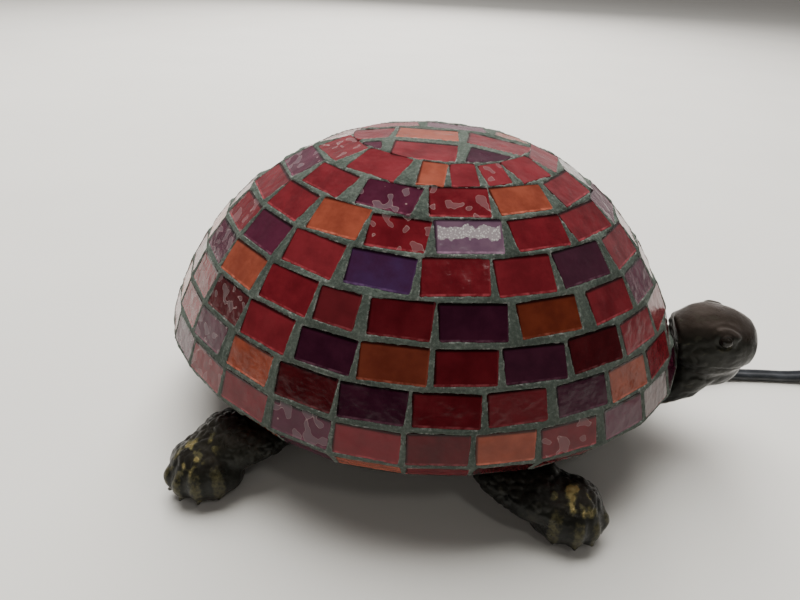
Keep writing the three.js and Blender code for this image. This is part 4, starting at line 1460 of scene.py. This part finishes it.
def relief_shape():
    """The strain relief: a tapering ribbed sleeve that follows the cord down to the table."""
    route = smooth_route(RELIEF[:, :3], 0.35)
    along = lengths_along(route)
    reached = [along[np.argmin(np.linalg.norm(route - stop, axis=1))] for stop in RELIEF[:, :3]]
    ribbed = step(along, 3.5, 4.5) * step(along, 24.5, 23.5)
    ribs = step(np.cos(along * 2 * pi / RELIEF_RIBS["pitch"]), -0.2, 0.5)
    from_end = np.clip(np.minimum(along, along[-1] - along) / 0.8, 0, 1)
    scale = (1 - RELIEF_RIBS["depth"] * ribbed * ribs) * np.sqrt(np.clip(1 - (1 - from_end) ** 2, 0.25, 1))
    wide, tall = (np.interp(along, reached, RELIEF[:, k]) * scale for k in (3, 4))
    angle = circle(40)
    return loft([
        centre + w * np.outer(np.cos(angle), side) + h * np.outer(np.sin(angle), over)
        for centre, w, h, side, over in zip(route, wide, tall, *level_frames(route))
    ])


def add_cord_entry():
    grommet = turned(filleted(GROMMET, 0.4, True), BUSHING, loop=True)
    part("grommet", grommet, "black_pvc", "cord_bushing", crease=50)
    boot = part("relief_boot", relief_shape(), "black_pvc", "strain_relief", crease=60)
    lead = sweep_level(smooth_route(SUPPLY_LEAD), twin_section())
    part("inner_lead", lead, "black_pvc", "supply_lead", crease=60)
    return boot


# ---- In-line rocker switch and plug ----
SWITCH = {"x": 175, "length": 46, "width": 17, "height": 13, "split": 6.5, "wall": 1.6, "corner": 4}
GRIP_OFFSETS = (13, 15, 17, 19, -13, -15, -17, -19)
GRIP_HALF = 0.45
ROCKER = {"length": 15, "width": 7.5, "pivot": 10.4, "tilt": -8, "gap": 0.5}
PLUG = {"top": 6, "length": 30, "width": 25, "height": 12, "blades": 12.7, "shoulder": 14, "neck": 4.6}
BLADE = {"half_thick": 0.75, "half_wide": 3.15, "tip_half": 1.8, "length": 16, "taper": 1.5, "hole": 12}


def rounded_block(inset, low, high, corner):
    half = np.array([SWITCH["length"] / 2 - inset, SWITCH["width"] / 2 - inset])
    corners = [half * sign + (SWITCH["x"], LANE_Y) for sign in ((-1, -1), (1, -1), (1, 1), (-1, 1))]
    return standing(filleted(corners, corner * 1.4, True, 8), low, high)


def switch_half(name, low, high, hollow, cuts, node):
    grips = []
    for x in (SWITCH["x"] + offset for offset in GRIP_OFFSETS):
        for flip in (-1, 1):
            y = LANE_Y + flip * SWITCH["width"] / 2
            near = (x - GRIP_HALF, y - GRIP_HALF, low + 1.4)
            grips.append(block(near, (x + GRIP_HALF, y + GRIP_HALF, high - 1.4)))
    inside = [rounded_block(SWITCH["wall"], *hollow, 3), *cuts]
    case = rounded_block(0, low, high, SWITCH["corner"])
    return machined(name, case, "black_pvc", node, 0.35, 2, inside, grips)


def add_switch():
    x, split, height, wall = (SWITCH[key] for key in ("x", "split", "height", "wall"))
    screws = [turned([(2.2, -1), (2.2, 0.9)], (x + dx, LANE_Y), "Z", 24) for dx in (-16, 16)]
    lower = switch_half("switch_base", 0, split, (wall, split + 1), screws, "switch_lower")
    half = np.array([ROCKER["length"] / 2, ROCKER["width"] / 2])
    low, high = ((x, LANE_Y) + way * (half + ROCKER["gap"]) for way in (-1, 1))
    window = block((*low, height - 4), (*high, height + 4))
    hollow = (split - 1, height - wall)
    upper = switch_half("switch_cover", split + 0.3, height, hollow, [window], "switch_upper")
    long, wide = half
    dish = [(u, 2.9 + 1.5 * (u / long) ** 2) for u in np.linspace(long, -long, 17)]
    tilt = radians(ROCKER["tilt"])
    turn = [(cos(tilt), -sin(tilt)), (sin(tilt), cos(tilt))]
    outline = np.array([(-long, 0), (long, 0), *dish]) @ turn + (x, ROCKER["pivot"])
    rocker = standing(outline, LANE_Y - wide, LANE_Y + wide, 1)
    paddle = machined("switch_paddle", rocker, "phenolic", "switch_rocker", 0.4, 3, body="rocker")
    return [lower, upper, paddle]


def add_plug():
    top, half, height, neck = PLUG["top"], PLUG["width"] / 2, PLUG["height"], PLUG["neck"]
    rear = top - PLUG["length"]
    shoulder = rear + PLUG["shoulder"]
    outline = [(-half, rear), (half, rear), (half, shoulder), (neck, top), (-neck, top), (-half, shoulder)]
    shape = standing(filleted(outline, 3.2, True, 6) + (PLUG_X, 0), 0, height)
    grooves = []
    for y in (rear + 4.5 + k * 2.6 for k in range(4)):
        for level in (0, height):
            grooves.append(block((PLUG_X - 8, y - 0.6, level - 0.6), (PLUG_X + 8, y + 0.6, level + 0.6)))
    made = [machined("plug_shell", shape, "black_pvc", "plug_body", 0.9, 4, grooves)]
    for number, flip in ((1, -1), (2, 1)):
        x = PLUG_X + flip * PLUG["blades"] / 2
        wide, tip = BLADE["half_wide"], BLADE["tip_half"]
        end = rear - BLADE["length"]
        bend = end + BLADE["taper"]
        root = rear - 0.3
        corners = [(root, -wide), (root, wide), (bend, wide), (end, tip), (end, -tip), (bend, -wide)]
        side_view = filleted(np.array(corners) + (0, height / 2), 0.8, True)
        blade = standing(side_view, x - BLADE["half_thick"], x + BLADE["half_thick"], 0)
        hole = turned([(1.5, x - 3), (1.5, x + 3)], (rear - BLADE["hole"], height / 2), "X", 28)
        made.append(machined(f"plug_pin_{number}", blade, "brass", f"plug_blade_{number}", 0.2, 2, [hole]))
    return made


def add_eyes():
    for side, flip in (("right", -1), ("left", 1)):
        bead = blob(EYE * (1, flip, 1) + (0.1, 0.25 * flip, -0.1), (2.1, 2.0, 2.0), sides=36, rows=20)
        part(f"eye_bead_{side}", bead, "eye", f"eye_{side}")


add_castings()
add_pan()
add_pads()
add_fasteners()
add_holder()
add_bulb()
boot = add_cord_entry()
add_cords([boot, *add_switch()], add_plug())
add_eyes()

# ---- Floor ----
FLOOR_HALF = 12.0


def add_floor():
    mesh = bpy.data.meshes.new("floor")
    corners = [(x * FLOOR_HALF, y * FLOOR_HALF, 0) for x, y in ((-1, -1), (1, -1), (1, 1), (-1, 1))]
    mesh.from_pydata(corners, [], [(0, 1, 2, 3)])
    f = Finish("floor_pale", (0.62, 0.61, 0.57), 0.9)
    f.feed("Base Color", f.mix(f.noise(9, 3, 0.5), (0.60, 0.59, 0.555), (0.66, 0.65, 0.61)))
    mesh.materials.append(f.material)
    floor = bpy.data.objects.new("floor", mesh)
    floor.location.z = -0.00005
    bpy.context.scene.collection.objects.link(floor)


add_floor()
